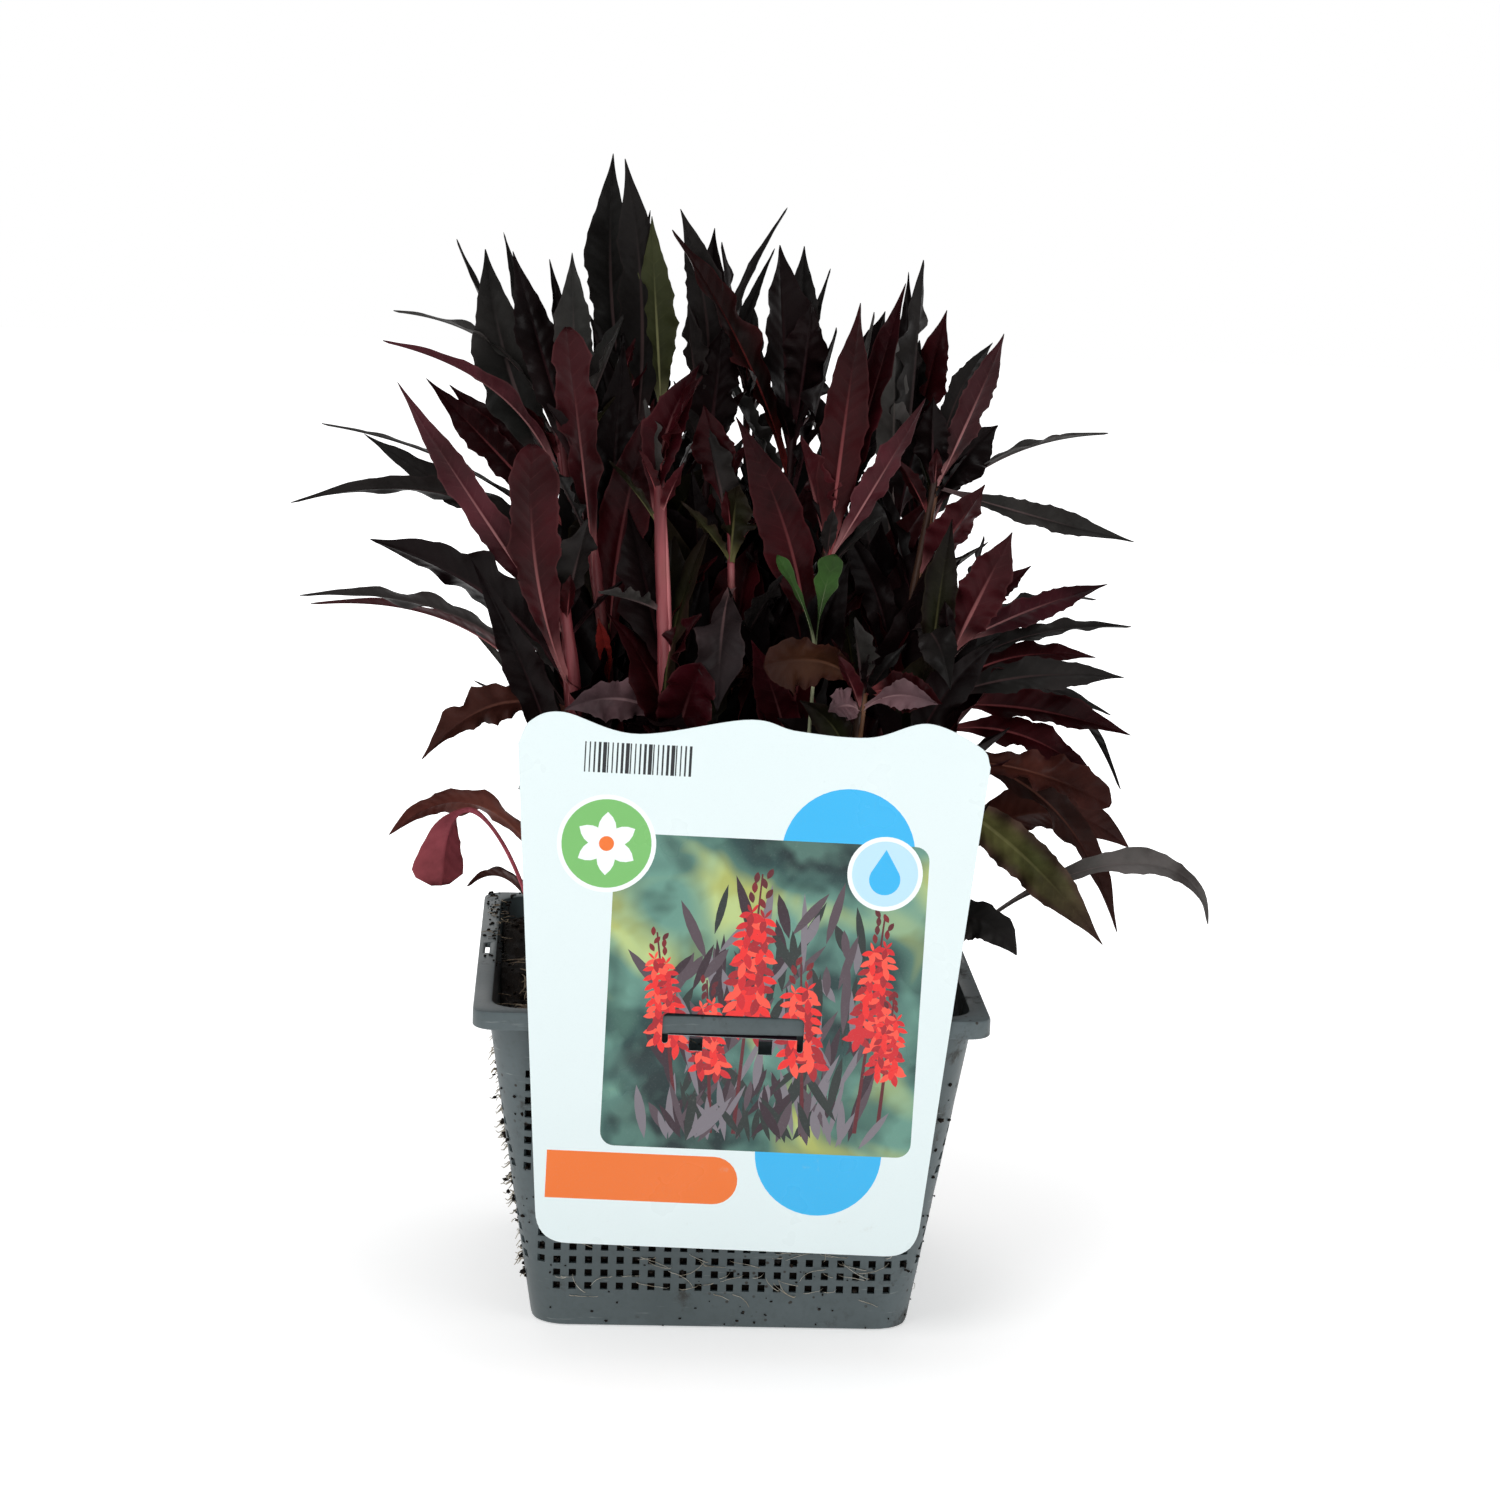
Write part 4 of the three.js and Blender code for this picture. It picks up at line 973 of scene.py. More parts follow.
def add_leaf(surface, controls, width, roll, tone, shape, rows, profile=None,
             tooth=TOOTH, columns=HALF_COLUMNS):
    """One leaf: a thin closed blade with a raised rib beneath, that starts at the first
    control point and ends at the last. The tone may be followed by the outline's name."""
    tone, _, outline = tone.partition(" ")
    profile = profile or OUTLINES[outline]
    t = np.linspace(0, 1, rows + 1)
    centre, tangent = bezier(controls, t)
    chord = controls[-1] - controls[0]
    length = np.linalg.norm(np.diff(centre, axis=0), axis=1).sum()
    heading = unit(chord * [1, 1, 0])
    level = np.cross(UP, heading)
    upper = unit(np.cross(tangent, level))
    turn = np.radians(roll + shape.twist * np.sin(math.pi * t))[:, None]
    across = level * np.cos(turn) + upper * np.sin(turn)
    face = np.cross(tangent, across)
    half = np.maximum(smooth_curve(profile, t) * width / 2, 0.04)
    half[1:-1] = np.maximum(half[1:-1], 0.3)
    bell = np.sin(math.pi * t) ** 0.7
    firm = np.minimum(1, 2.2 * half / width) ** 2  # stalks have neither teeth nor lobes
    centre = centre + across * (shape.sway * width * bell)[:, None]

    u = np.array([-c for c in reversed(columns)] + [0.0] + list(columns))
    wide = np.abs(u)
    top = np.empty((rows + 1, len(u), 3))
    toothed = tooth * firm * min(1, width / 12)
    for j, place in enumerate(u):
        reach = leaf_reach(shape, t, half, place, firm, toothed)
        lift = leaf_lift(shape, t, half, place, bell)
        top[:, j] = centre + across * reach[:, None] + face * lift[:, None]
    rib = np.where(wide == 0, 1.0, np.where(wide < 0.2, 0.45, 0.0))
    depth = BLADE_THICK + RIB_THICK * rib[None] * (1.15 - t)[:, None] * min(1, width / 14)
    under = top - face[:, None] * depth[:, :, None]

    # The underside has points of its own, but shares the top's along the whole border.
    count = len(u)
    top_index = np.arange((rows + 1) * count).reshape(rows + 1, count)
    under_index = top_index.copy()
    inner = (rows - 1) * (count - 2)
    under_index[1:-1, 1:-1] = (rows + 1) * count + np.arange(inner).reshape(rows - 1, count - 2)
    points = np.concatenate([top.reshape(-1, 3), under[1:-1, 1:-1].reshape(-1, 3)])

    upper_faces, under_faces = grid_faces(top_index), grid_faces(under_index)[:, [0, 3, 2, 1]]
    faces = np.concatenate([upper_faces, under_faces])
    blade = blade_values(t, wide, half, length)
    blade = np.concatenate([blade.reshape(-1, 4), blade[1:-1, 1:-1].reshape(-1, 4)])
    rim = np.zeros(len(points), bool)
    rim[top_index[:, 0]] = rim[top_index[:, -1]] = True
    rim[top_index[0]] = True
    surface.add(
        points, faces.tolist(), leaf_colours(tone, shape.shade, blade),
        {"under": np.concatenate([np.zeros(len(upper_faces)), np.ones(len(under_faces))])},
        rim,
    )


def outward(heading, steep, reach):
    """The way from a leaf's root to its tip, with both angles in radians."""
    flat = reach * math.cos(steep)
    return [flat * math.cos(heading), flat * math.sin(heading), reach * math.sin(steep)]


def rest_leaves(shoot, index, controls):
    count, length, width, start, first_heading = shoot["rest"]
    for k in range(count):
        rise = k / (count - 1) if count > 1 else 1
        at = start + (0.97 - start) * rise
        heading = math.radians(first_heading + GOLDEN_TURN * k)
        steep = math.radians(22 + 42 * rise + 16 * chance(index, k))
        reach = length * (1.05 - 0.3 * rise) * (0.85 + 0.3 * chance(index + 50, k))
        axis = stem_point(controls, at)
        out = outward(heading, steep, reach)
        tones = HIGH_TONES if axis[2] + out[2] > HIGH_LEAF else REST_TONES
        tone = tones[int(chance(index + 7, k + 3) * len(tones))]
        yield {
            "axis": axis, "tip": axis + out, "tone": tone,
            "width": width * (0.8 + 0.4 * chance(index + 90, k)),
            "arch": 0.25 - 0.25 * rise, "roll": 70 * (chance(index + 130, k) - 0.5),
        }


def filler_leaves(shoot, index, controls):
    """Steep leaves up the stem's lower part, that close the view between the shoots."""
    for k in range(FILLERS):
        at = 0.02 + 0.6 * k / (FILLERS - 1)
        axis = stem_point(controls, at)
        heading = math.radians(GOLDEN_TURN * k + 360 * chance(index, 31))
        if "stem" in shoot and at > 0.1 and math.sin(heading) < 0.2:
            heading = -heading  # the front of these stems is bare
        steep = math.radians(52 + 28 * chance(index + 11, k))
        room = controls[2][2] - axis[2]
        reach = min(room * 0.85, 62 + 58 * chance(index + 23, k))
        out = outward(heading, steep, reach)
        yield {
            "axis": axis, "tip": axis + out, "width": 15 + 9 * chance(index + 37, k),
            "arch": 0.3 * chance(index + 41, k), "roll": 60 * (chance(index + 43, k) - 0.5),
            "tone": FILL_TONES[int(chance(index + 47, k) * len(FILL_TONES))],
        }


def grown_tip(axis, tip, corners):
    """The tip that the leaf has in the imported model, where it may have stepped aside to
    clear its neighbours, or None where it was left out."""
    best, found = TIP_MATCH, None
    for step in SIDESTEPS:
        turn = math.radians(step)
        x, y, z = tip - axis
        moved = axis + [
            x * math.cos(turn) - y * math.sin(turn), x * math.sin(turn) + y * math.cos(turn), z,
        ]
        gap = np.linalg.norm(corners - moved, axis=1).min()
        if gap < best:
            best, found = gap, moved
    return found


def corners_of(node):
    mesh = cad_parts[node].data
    values = np.empty(len(mesh.vertices) * 3)
    mesh.vertices.foreach_get("co", values)
    return values.reshape(-1, 3) / MM


def add_stem(surface, controls, radius, foot_tone, top_tone):
    """A stem with slight swellings, thinner and darker towards its apex."""
    t = np.linspace(0.03, 1, 40)
    path, _ = bezier(controls, t)
    wobble = np.stack([np.sin(t * 17 + controls[0][0]), np.cos(t * 13 + controls[0][1])], axis=1)
    path[:, :2] += wobble * 0.35 * t[:, None]
    swell = 1 + 0.1 * np.maximum(0, np.sin(t * 60)) ** 4
    radii = radius * (1.55 - 0.8 * t) * swell
    radii[-1] *= 0.3
    points, faces = tube(path, radii, 10)
    share = np.repeat(t, 10)[:, None] ** 0.8
    tones = np.array(foot_tone)[None] * (1 - share) + np.array(top_tone)[None] * share
    surface.add(points, faces, {"tone": tones})


STEM_TONES = {
    "dark": (srgb(100, 50, 54), srgb(50, 28, 30)),
    "pink": (srgb(186, 108, 112), srgb(140, 62, 68)),
    "brown": (srgb(138, 96, 68), srgb(66, 44, 36)),
}


def add_petiole(surface, controls, radius, leaf, tone):
    """The ridge that a leaf's stalk makes down the stem below it."""
    heading = unit((leaf["tip"] - leaf["axis"]) * [1, 1, 0])
    share = np.linspace(0, 1, 16)
    top = (leaf["axis"][2] - SOIL_LEVEL) / (controls[2][2] - SOIL_LEVEL)
    path = np.array([stem_point(controls, max(0.02, top * (1 - 0.62 * s))) for s in share])
    path += heading * (radius * 0.9 * np.sin(math.pi * (0.12 + 0.76 * share)))[:, None]
    points, faces = tube(path, 1.15 * (1 - 0.75 * share ** 2), 8)
    surface.add(points, faces, {"tone": tone})


def shoot_name(index):
    return f"shoot_{index + 1:02d}"


def add_packed_leaves(leaves, stem, index, shoot, controls):
    """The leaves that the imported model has, each with the tip that it has there."""
    wanted = [
        {"axis": stem_point(controls, at), "tip": np.array([x, y, z], float), "width": width,
         "arch": arch, "roll": roll, "tone": tone, "rows": OWN_ROWS}
        for at, x, y, z, width, arch, roll, tone in shoot.get("own", [])
    ]
    wanted += [{**leaf, "rows": REST_ROWS} for leaf in rest_leaves(shoot, index, controls)]
    wanted = [leaf for k, leaf in enumerate(wanted) if k not in shoot.get("left_out", [])]
    corners = corners_of(shoot_name(index))
    for k, leaf in enumerate(wanted):
        tip = grown_tip(leaf["axis"], leaf["tip"], corners)
        if tip is None:
            continue
        heading = unit((tip - leaf["axis"]) * [1, 1, 0])
        root = leaf["axis"] + heading * LEAF_ROOT_OFFSET
        bend = leaf_controls(root, tip, leaf["arch"])
        shape = LeafShape(SHOOT_SEEDS * index + k)
        add_leaf(leaves, bend, leaf["width"], leaf["roll"], leaf["tone"], shape, leaf["rows"])
        if "stem" in shoot and leaf["rows"] == OWN_ROWS:
            tone = STEM_TONES[shoot["stem"]][k % 2]
            add_petiole(stem, controls, shoot["radius"], leaf, tone)


def add_seen_leaves(leaves, index, shoot, controls):
    """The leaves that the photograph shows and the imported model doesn't have."""
    for k, leaf in enumerate(shoot.get("seen", [])):
        place = seen_place(leaf.pixel, leaf.depth)
        on_curve = bezier(controls, [stem_share(controls, leaf.at)])[0][0]
        roll = facing_roll(place - on_curve, TURN_SHARE * leaf.turn)
        bend = leaf_controls(stem_point(controls, leaf.at), place.round(), leaf.arch)
        shape = LeafShape(SEEN_SEED + EXTRA_LEAF_SEEDS * index + k)
        outline = None if " " in leaf.tone else LONG_PROFILE  # long, unless one is named
        add_leaf(leaves, bend, leaf.width, roll, leaf.tone, shape, SEEN_ROWS, outline)


def make_shoot(index, shoot, leaf_finish, stem_finish):
    name = shoot_name(index)
    controls = stem_controls(shoot["foot"], shoot["apex"])
    stem, leaves = Surface(), Surface()
    add_stem(stem, controls, shoot["radius"], *STEM_TONES[shoot.get("stem", "dark")])
    add_packed_leaves(leaves, stem, index, shoot, controls)
    add_seen_leaves(leaves, index, shoot, controls)
    for k, leaf in enumerate(filler_leaves(shoot, index, controls)):
        bend = leaf_controls(leaf["axis"], leaf["tip"], leaf["arch"])
        shape = LeafShape(FILLER_SEED + EXTRA_LEAF_SEEDS * index + k)
        add_leaf(leaves, bend, leaf["width"], leaf["roll"], leaf["tone"], shape, FILLER_ROWS,
                 columns=FILLER_COLUMNS)
    add_crown(leaves, index, controls)
    node = [name]
    stem.make(name + "_stem", stem_finish, stands_for=node, slot="shoot_foliage")
    leaves.make(name + "_leaves", leaf_finish, stands_for=node, slot="shoot_foliage")


def add_crown(surface, index, controls):
    """The rosette of young leaves round a shoot's apex."""
    for k in range(YOUNG_LEAVES):
        at = 0.9 + 0.016 * k
        axis = stem_point(controls, min(at, 0.985))
        heading = math.radians(GOLDEN_TURN * k + 40 * index)
        steep = math.radians(48 + 5 * k)
        reach = 30 - 3.2 * k
        out = [
            math.cos(heading) * math.cos(steep), math.sin(heading) * math.cos(steep),
            math.sin(steep),
        ]
        tip = axis + np.array(out) * reach
        shape = LeafShape(YOUNG_LEAF_SEED + YOUNG_LEAF_SEEDS * index + k)
        bend = leaf_controls(axis, tip, 0.08)
        tone = REST_TONES[(index + k) % len(REST_TONES)]
        add_leaf(surface, bend, 6.5 - 0.5 * k, 20, tone, shape, YOUNG_LEAF_ROWS,
                 columns=YOUNG_COLUMNS)


def make_plant(leaf_finish, stem_finish):
    for index, shoot in enumerate(SHOOTS):
        make_shoot(index, shoot, leaf_finish, stem_finish)
    for index, leaf in enumerate(CROWN_LEAVES):
        name = f"crown_leaf_{index + 1:02d}"
        bend = stalk_controls(
            np.array([*leaf["foot"], SOCKET_FLOOR + SEAT_GAP]), np.array(leaf["tip"], float),
            leaf["arch"], leaf.get("over", 0.55),
        )
        surface = Surface()
        shape = LeafShape(CROWN_LEAF_SEED + index)
        shape.twist = leaf.get("twist", shape.twist)
        shape.shade = 0.8
        add_leaf(
            surface, bend, leaf["width"], leaf["roll"], leaf["tone"], shape,
            CROWN_LEAF_ROWS, leaf.get("outline", STALKED_PROFILE),
        )
        surface.make(name + "_blade", leaf_finish, stands_for=[name], slot="crown_leaf")
    make_seedling(leaf_finish)


def make_seedling(leaf_finish):
    surface = Surface()
    foot, fork = SEEDLING["foot"], np.array(SEEDLING["fork"], float)
    controls = stem_controls(foot, fork)
    path, _ = bezier(controls, np.linspace(0.05, 1, 24))
    points, faces = tube(path, np.linspace(0.95, 0.6, 24), 8)
    blade = np.tile([0.0, 0.2, 20.0, 1.0], (len(points), 1))
    rib = TONES["green"][1]
    surface.add(points, faces, {"tone": rib, "rib": rib, "blade": blade}, {"under": 1.0})
    for i, (tip, width, roll, outline) in enumerate(SEEDLING["leaves"]):
        root = fork - UP * (2 + 4 * i)
        bend = leaf_controls(root, np.array(tip, float), 0.12)
        shape = LeafShape(SEED_LEAF_SEED + i, ripple=0.3, fold=0.15)
        shape.shade = 1.0
        add_leaf(surface, bend, width, roll, "green", shape, SEED_LEAF_ROWS, OUTLINES[outline],
                 tooth=0.0)
    surface.make("seedling_plant", leaf_finish, stands_for=["seedling"], slot="seedling_green")


# ---------- pond basket ----------
HOLE_PITCH = 5.6
HOLE_HALF_WIDE = 1.3
HOLE_HALF_HIGH = 1.4
HOLE_COLUMNS = 14  # on each side of a wall's middle
CORNER_LINES = 6  # lines with no hole between the last column and each corner
HOLE_EDGE_ROOM = 6.2  # from the last hole's middle to the wall's end
ROW_FIRST, ROW_PITCH, ROW_COUNT = 15.9, 5.05, 17
LIP_ROUND = 0.3
RIM_ROUND = 0.9
# Each side of the basket: the direction along it and the direction out of it.
SIDES = [((1, 0), (0, -1)), ((0, 1), (1, 0)), ((-1, 0), (0, 1)), ((0, -1), (-1, 0))]


def wall_size(height):
    """Outer half width and corner radius of the wall at a height."""
    rise = (height - BASE_CHAMFER) / (BASKET_HEIGHT - FLANGE_THICK - BASE_CHAMFER)
    return BASE_HALF + (WALL_TOP_HALF - BASE_HALF) * rise, WALL_CORNER - rise


def hole_lines(half, corner, row_half):
    """Lengths along a wall from its middle to each hole's edges and on to the corner, and
    how many columns of holes fit. Lines with no hole are shared out before the corner."""
    flat = half - corner
    full = flat + corner * math.pi / 4
    lines = []
    for column in range(HOLE_COLUMNS):
        middle = HOLE_PITCH * (column + 0.5)
        if middle > row_half - HOLE_EDGE_ROOM:
            break
        for edge in (middle - HOLE_HALF_WIDE, middle + HOLE_HALF_WIDE):
            over = edge - flat
            lines.append(edge if over <= 0 else flat + corner * math.asin(over / corner))
    columns = len(lines) // 2
    spare, last = 2 * HOLE_COLUMNS + CORNER_LINES - len(lines), lines[-1]
    lines += [last + (full - last) * (i + 1) / (spare + 1) for i in range(spare)]
    return lines, full, columns


def wall_point(side, length, half, corner, inset, height):
    """A point at a length along a wall from its middle, round the corner if need be."""
    flat = half - corner
    over = max(0.0, abs(length) - flat) / corner
    along = min(abs(length), flat) + (corner - inset) * math.sin(over)
    out = flat + (corner - inset) * math.cos(over)
    (ax, ay), (nx, ny) = SIDES[side]
    along = math.copysign(along, length)
    return (ax * along + nx * out, ay * along + ny * out, height)


def wall_ring(half, corner, height, inset=0.0, row_half=None):
    lines, full, columns = hole_lines(half, corner, row_half or half)
    lengths = [-full] + [-line for line in reversed(lines)] + lines
    ring = [
        wall_point(side, length, half, corner, inset, height)
        for side in range(4) for length in lengths
    ]
    return ring, columns


def rim_profile():
    """Half width, corner radius and height of each ring over the rim, from outside the wall,
    under the flange and round the lip to the flange's inner edge."""
    under, lip_bottom = BASKET_HEIGHT - FLANGE_THICK, BASKET_HEIGHT - LIP_DROP
    lip_inner, lip_corner = RIM_HALF - LIP_THICK, RIM_CORNER - LIP_THICK
    return [
        (WALL_TOP_HALF - 0.4, WALL_CORNER - 1, under - 3),
        (WALL_TOP_HALF, WALL_CORNER - 1, under),
        (lip_inner, lip_corner, under),
        (lip_inner, lip_corner, lip_bottom + LIP_ROUND),
        (lip_inner + LIP_ROUND, lip_corner + LIP_ROUND, lip_bottom),
        (RIM_HALF - LIP_ROUND, RIM_CORNER - LIP_ROUND, lip_bottom),
        (RIM_HALF, RIM_CORNER, lip_bottom + LIP_ROUND),
        (RIM_HALF, RIM_CORNER, BASKET_HEIGHT - RIM_ROUND),
        (RIM_HALF - 0.3 * RIM_ROUND, RIM_CORNER - 0.3 * RIM_ROUND, BASKET_HEIGHT - 0.3 * RIM_ROUND),
        (RIM_HALF - RIM_ROUND, RIM_CORNER - RIM_ROUND, BASKET_HEIGHT),
        (FLANGE_INNER_HALF + RIM_ROUND, WALL_CORNER - 1, BASKET_HEIGHT),
        (FLANGE_INNER_HALF + 0.2, WALL_CORNER - 1.7, BASKET_HEIGHT - 0.3),
        (FLANGE_INNER_HALF, WALL_CORNER - 2, BASKET_HEIGHT - 1),
    ]


def basket_rings():
    """Rings of points up the outside, over the rim and down the inside. Also the ring that
    starts each row of holes, as {ring number: (row, columns of holes, upward)}."""
    rings, row_of = [], {}

    def ring(half, corner, height, inset=0.0, row_half=None):
        points, columns = wall_ring(half, corner, height, inset, row_half)
        rings.append(points)
        return columns

    def rows(inset, upward):
        ends = (-1, 1) if upward else (1, -1)
        for row in range(ROW_COUNT)[::ends[1]]:
            middle = ROW_FIRST + ROW_PITCH * row
            row_half = wall_size(middle)[0]
            for end in ends:
                height = middle + end * HOLE_HALF_HIGH
                columns = ring(*wall_size(height), height, inset, row_half)
            row_of[len(rings) - 2] = (row, columns, upward)

    for less, height in ((BASE_CHAMFER, 0), (0.5, 0.5), (0, BASE_CHAMFER)):
        ring(BASE_HALF - less, WALL_CORNER - less, height)
    rows(0.0, True)
    for half, corner, height in rim_profile():
        ring(half, corner, height)
    rows(WALL_THICK, False)
    ring(*wall_size(INSIDE_FOOT), INSIDE_FOOT, WALL_THICK)
    ring(INSIDE_BASE_HALF - FLOOR_FILLET, WALL_CORNER - 3, WALL_THICK)
    return rings, row_of


def basket_faces(size, ring_count, row_of):
    """Faces between the rings, with the holes left open, and the four walls of each hole."""
    side_size = size // 4
    middle = 2 * HOLE_COLUMNS + CORNER_LINES + 1
    outer_row, inner_row, holes = {}, {}, {}
    for number, (row, columns, upward) in row_of.items():
        (outer_row if upward else inner_row)[row] = number
        # Holes lie two places apart, to both sides of each wall's middle.
        holes[number] = {
            side * side_size + middle + step
            for side in range(4) for column in range(columns)
            for step in (2 * column, -2 - 2 * column)
        }
    foot, quads, head = ring_faces(size, ring_count)
    faces = [foot] + [
        quad for place, quad in enumerate(quads) if place % size not in holes.get(place // size, ())
    ]
    for row, number in outer_row.items():
        inner = inner_row[row]
        for i in holes[number]:
            j = i + 1
            a, b = number * size + i, number * size + j
            d, c = a + size, b + size
            # The inner rings run downwards, so the upper one comes first.
            d2, c2 = inner * size + i, inner * size + j
            a2, b2 = d2 + size, c2 + size
            faces += [[a, b, b2, a2], [b, c, c2, b2], [c, d, d2, c2], [d, a, a2, d2]]
    return faces + [head]


def make_basket(finish):
    rings, row_of = basket_rings()
    surface = Surface()
    faces = basket_faces(len(rings[0]), len(rings), row_of)
    surface.add(np.array(rings).reshape(-1, 3), faces)
    basket = surface.make(
        "basket_shell", finish, stands_for=["basket"], slot="basket_plastic", angle=38
    )
    cut_flange_slots(basket)


# Faces between four corners at the foot of a box and the four above them.
BOX_FACES = [[1, 2, 3, 0], [7, 6, 5, 4], [4, 5, 1, 0], [5, 6, 2, 1], [6, 7, 3, 2], [7, 4, 0, 3]]


def cut_flange_slots(basket):
    """One lifting slot in the middle of each side of the rim."""
    cutter = Surface()
    for side in range(4):
        (ax, ay), (nx, ny) = SIDES[side]
        corners = []
        for height in (BASKET_HEIGHT - 3, BASKET_HEIGHT + 2):
            for s, w in ((-1, -1), (1, -1), (1, 1), (-1, 1)):
                x = nx * (SLOT_HALF + w * SLOT_WIDTH / 2) + ax * s * SLOT_LENGTH / 2
                y = ny * (SLOT_HALF + w * SLOT_WIDTH / 2) + ay * s * SLOT_LENGTH / 2
                corners.append((x, y, height))
        cutter.add(corners, BOX_FACES)
    tool = cutter.make("slot_cutter", basket.data.materials[0])
    cut = basket.modifiers.new("slots", "BOOLEAN")
    cut.object = tool
    cut.operation = "DIFFERENCE"
    cut.solver = "EXACT"
    settled = basket.evaluated_get(bpy.context.evaluated_depsgraph_get())
    mesh = bpy.data.meshes.new_from_object(settled)
    basket.modifiers.remove(cut)
    basket.data = mesh
    bpy.data.objects.remove(tool)


# ---------- soil ----------
SOIL_FOOT = 3.4
SOIL_MIDDLE = 60  # the height whose corner radius the whole ball takes
SOIL_TOP_HALF = 78
SOIL_WALL_ROWS, SOIL_TOP_ROWS = 44, 74
FIBRE_STEPS = 9
CRUMBS_HALF, FIBRES_HALF = 79, 74  # half widths of the squares where they lie on the soil
# How many crumbs and fibres lie where.
SOIL_CRUMBS, SOIL_FIBRES, LEFT_FIBRES = 1300, 240, 46
RIM_CRUMBS, BACK_RIM_CRUMBS, RIM_FIBRES = 170, 60, 22
MOSS_DENSITY = 22  # blades for each millimetre of a tuft's radius
FRINGE_ROOTS = 110
WALL_ROOTS, FRONT_WALL_ROOTS = 36, 60  # on each wall
HOLE_BITS, LEFT_HOLE_BITS = 110, 240
FOOT_BITS, CORNER_BITS = 46, 26
FRONT, LEFT = 0, 3  # places in SIDES


def soil_height(x, y):
    lumps = 1.6 * math.sin(x / 11 + 1.3) * math.cos(y / 9) + 1.1 * math.sin((x + 2 * y) / 17)
    bank = 8 * max(0, (y - x) / 160 - 0.15)
    return SOIL_LEVEL + lumps + bank


def soil_half(height):
    rise = (height - INSIDE_FOOT) / (BASKET_HEIGHT - 1 - INSIDE_FOOT)
    return INSIDE_BASE_HALF + (FLANGE_INNER_HALF - INSIDE_BASE_HALF) * rise - SEAT_GAP


def round_square(half, corner, straight=44, arc=6):
    """Points round a square with round corners, as (x, y), evenly spaced on each stretch."""
    points = []
    for side in range(4):
        flat = half - corner
        for i in range(straight + arc):
            if i < straight:
                length = -flat + 2 * flat * i / straight
            else:
                length = flat + corner * math.pi / 2 * (i - straight) / arc
            points.append(wall_point(side, length, half, corner, 0, 0)[:2])
    return points


def roughness_at(x, y, z, scale=0.16):
    return noise.fractal(Vector((x * scale, y * scale, z * scale)), 0.7, 2.1, 5)


def make_soil(finish):
    corner = WALL_CORNER - 2.5
    rings = []
    for rise in np.arange(SOIL_WALL_ROWS + 1) / SOIL_WALL_ROWS:
        ring = []
        for x, y in round_square(1.0, corner / soil_half(SOIL_MIDDLE)):
            top = soil_height(x * SOIL_TOP_HALF, y * SOIL_TOP_HALF) - 0.6
            z = SOIL_FOOT + (top - SOIL_FOOT) * rise
            half = soil_half(z)
            inward = 0.25 + 0.9 * max(0.0, roughness_at(x * half, y * half, z, 0.22))
            ring.append((x * (half - inward), y * (half - inward), z))
        rings.append(ring)
    brim = rings[-1]
    for scale in np.linspace(0.985, 0.02, SOIL_TOP_ROWS):
        ring = []
        for x, y, _ in brim:
            x, y = x * scale, y * scale
            rough = 1.5 * roughness_at(x, y, 0) + 0.8 * roughness_at(x, y, 5, 0.5)
            ring.append((x, y, soil_height(x, y) + rough))
        rings.append(ring)
    foot, quads, head = ring_faces(len(brim), len(rings))
    surface = Surface()
    surface.add(np.array(rings).reshape(-1, 3), [foot] + quads + [head])
    surface.make("soil_ball", finish, stands_for=["soil"], slot="potting_soil")


GOLD = (1 + math.sqrt(5)) / 2
CRUMB_CORNERS = unit(np.array([
    (-1, GOLD, 0), (1, GOLD, 0), (-1, -GOLD, 0), (1, -GOLD, 0),
    (0, -1, GOLD), (0, 1, GOLD), (0, -1, -GOLD), (0, 1, -GOLD),
    (GOLD, 0, -1), (GOLD, 0, 1), (-GOLD, 0, -1), (-GOLD, 0, 1),
]))
CRUMB_FACES = [
    [0, 11, 5], [0, 5, 1], [0, 1, 7], [0, 7, 10], [0, 10, 11], [1, 5, 9], [5, 11, 4],
    [11, 10, 2], [10, 7, 6], [7, 1, 8], [3, 9, 4], [3, 4, 2], [3, 2, 6], [3, 6, 8],
    [3, 8, 9], [4, 9, 5], [2, 4, 11], [6, 2, 10], [8, 6, 7], [9, 8, 1],
]


def add_crumb(surface, place, size):
    lumps = np.array([[dice.uniform(0.6, 1.2)] for _ in CRUMB_CORNERS])
    stretch = np.array([dice.uniform(0.6, 1.3), dice.uniform(0.6, 1.3), dice.uniform(0.5, 0.9)])
    surface.add(np.array(place) + CRUMB_CORNERS * lumps * stretch * size, CRUMB_FACES)


def add_fibre(surface, start, heading, length, radius, floor):
    """A curved thread that lies on the surface whose height is floor(x, y)."""
    path = []
    x, y = start
    bend = dice.uniform(-1.2, 1.2)
    climb = dice.uniform(-0.05, 0.5)
    for i in range(FIBRE_STEPS):
        share = i / (FIBRE_STEPS - 1)
        height = floor(x, y) + radius + climb * length * 0.25 * math.sin(math.pi * share)
        path.append((x, y, height))
        heading += bend / FIBRE_STEPS * 2
        x += math.cos(heading) * length / FIBRE_STEPS
        y += math.sin(heading) * length / FIBRE_STEPS
    radii = radius * np.sin(np.linspace(0.35, 2.9, FIBRE_STEPS)) ** 0.5
    points, faces = tube(path, radii, 5)
    surface.add(points, faces)


def add_lying_fibres(fibres, count, across, along, length, radius, lift):
    """Fibres strewn on the soil between the given bounds of x and of y."""
    for _ in range(count):
        x, y = dice.uniform(*across), dice.uniform(*along)
        add_fibre(
            fibres, (x, y), dice.uniform(0, 6.28), dice.uniform(*length),
            dice.uniform(*radius), lambda px, py: soil_height(px, py) + lift,
        )


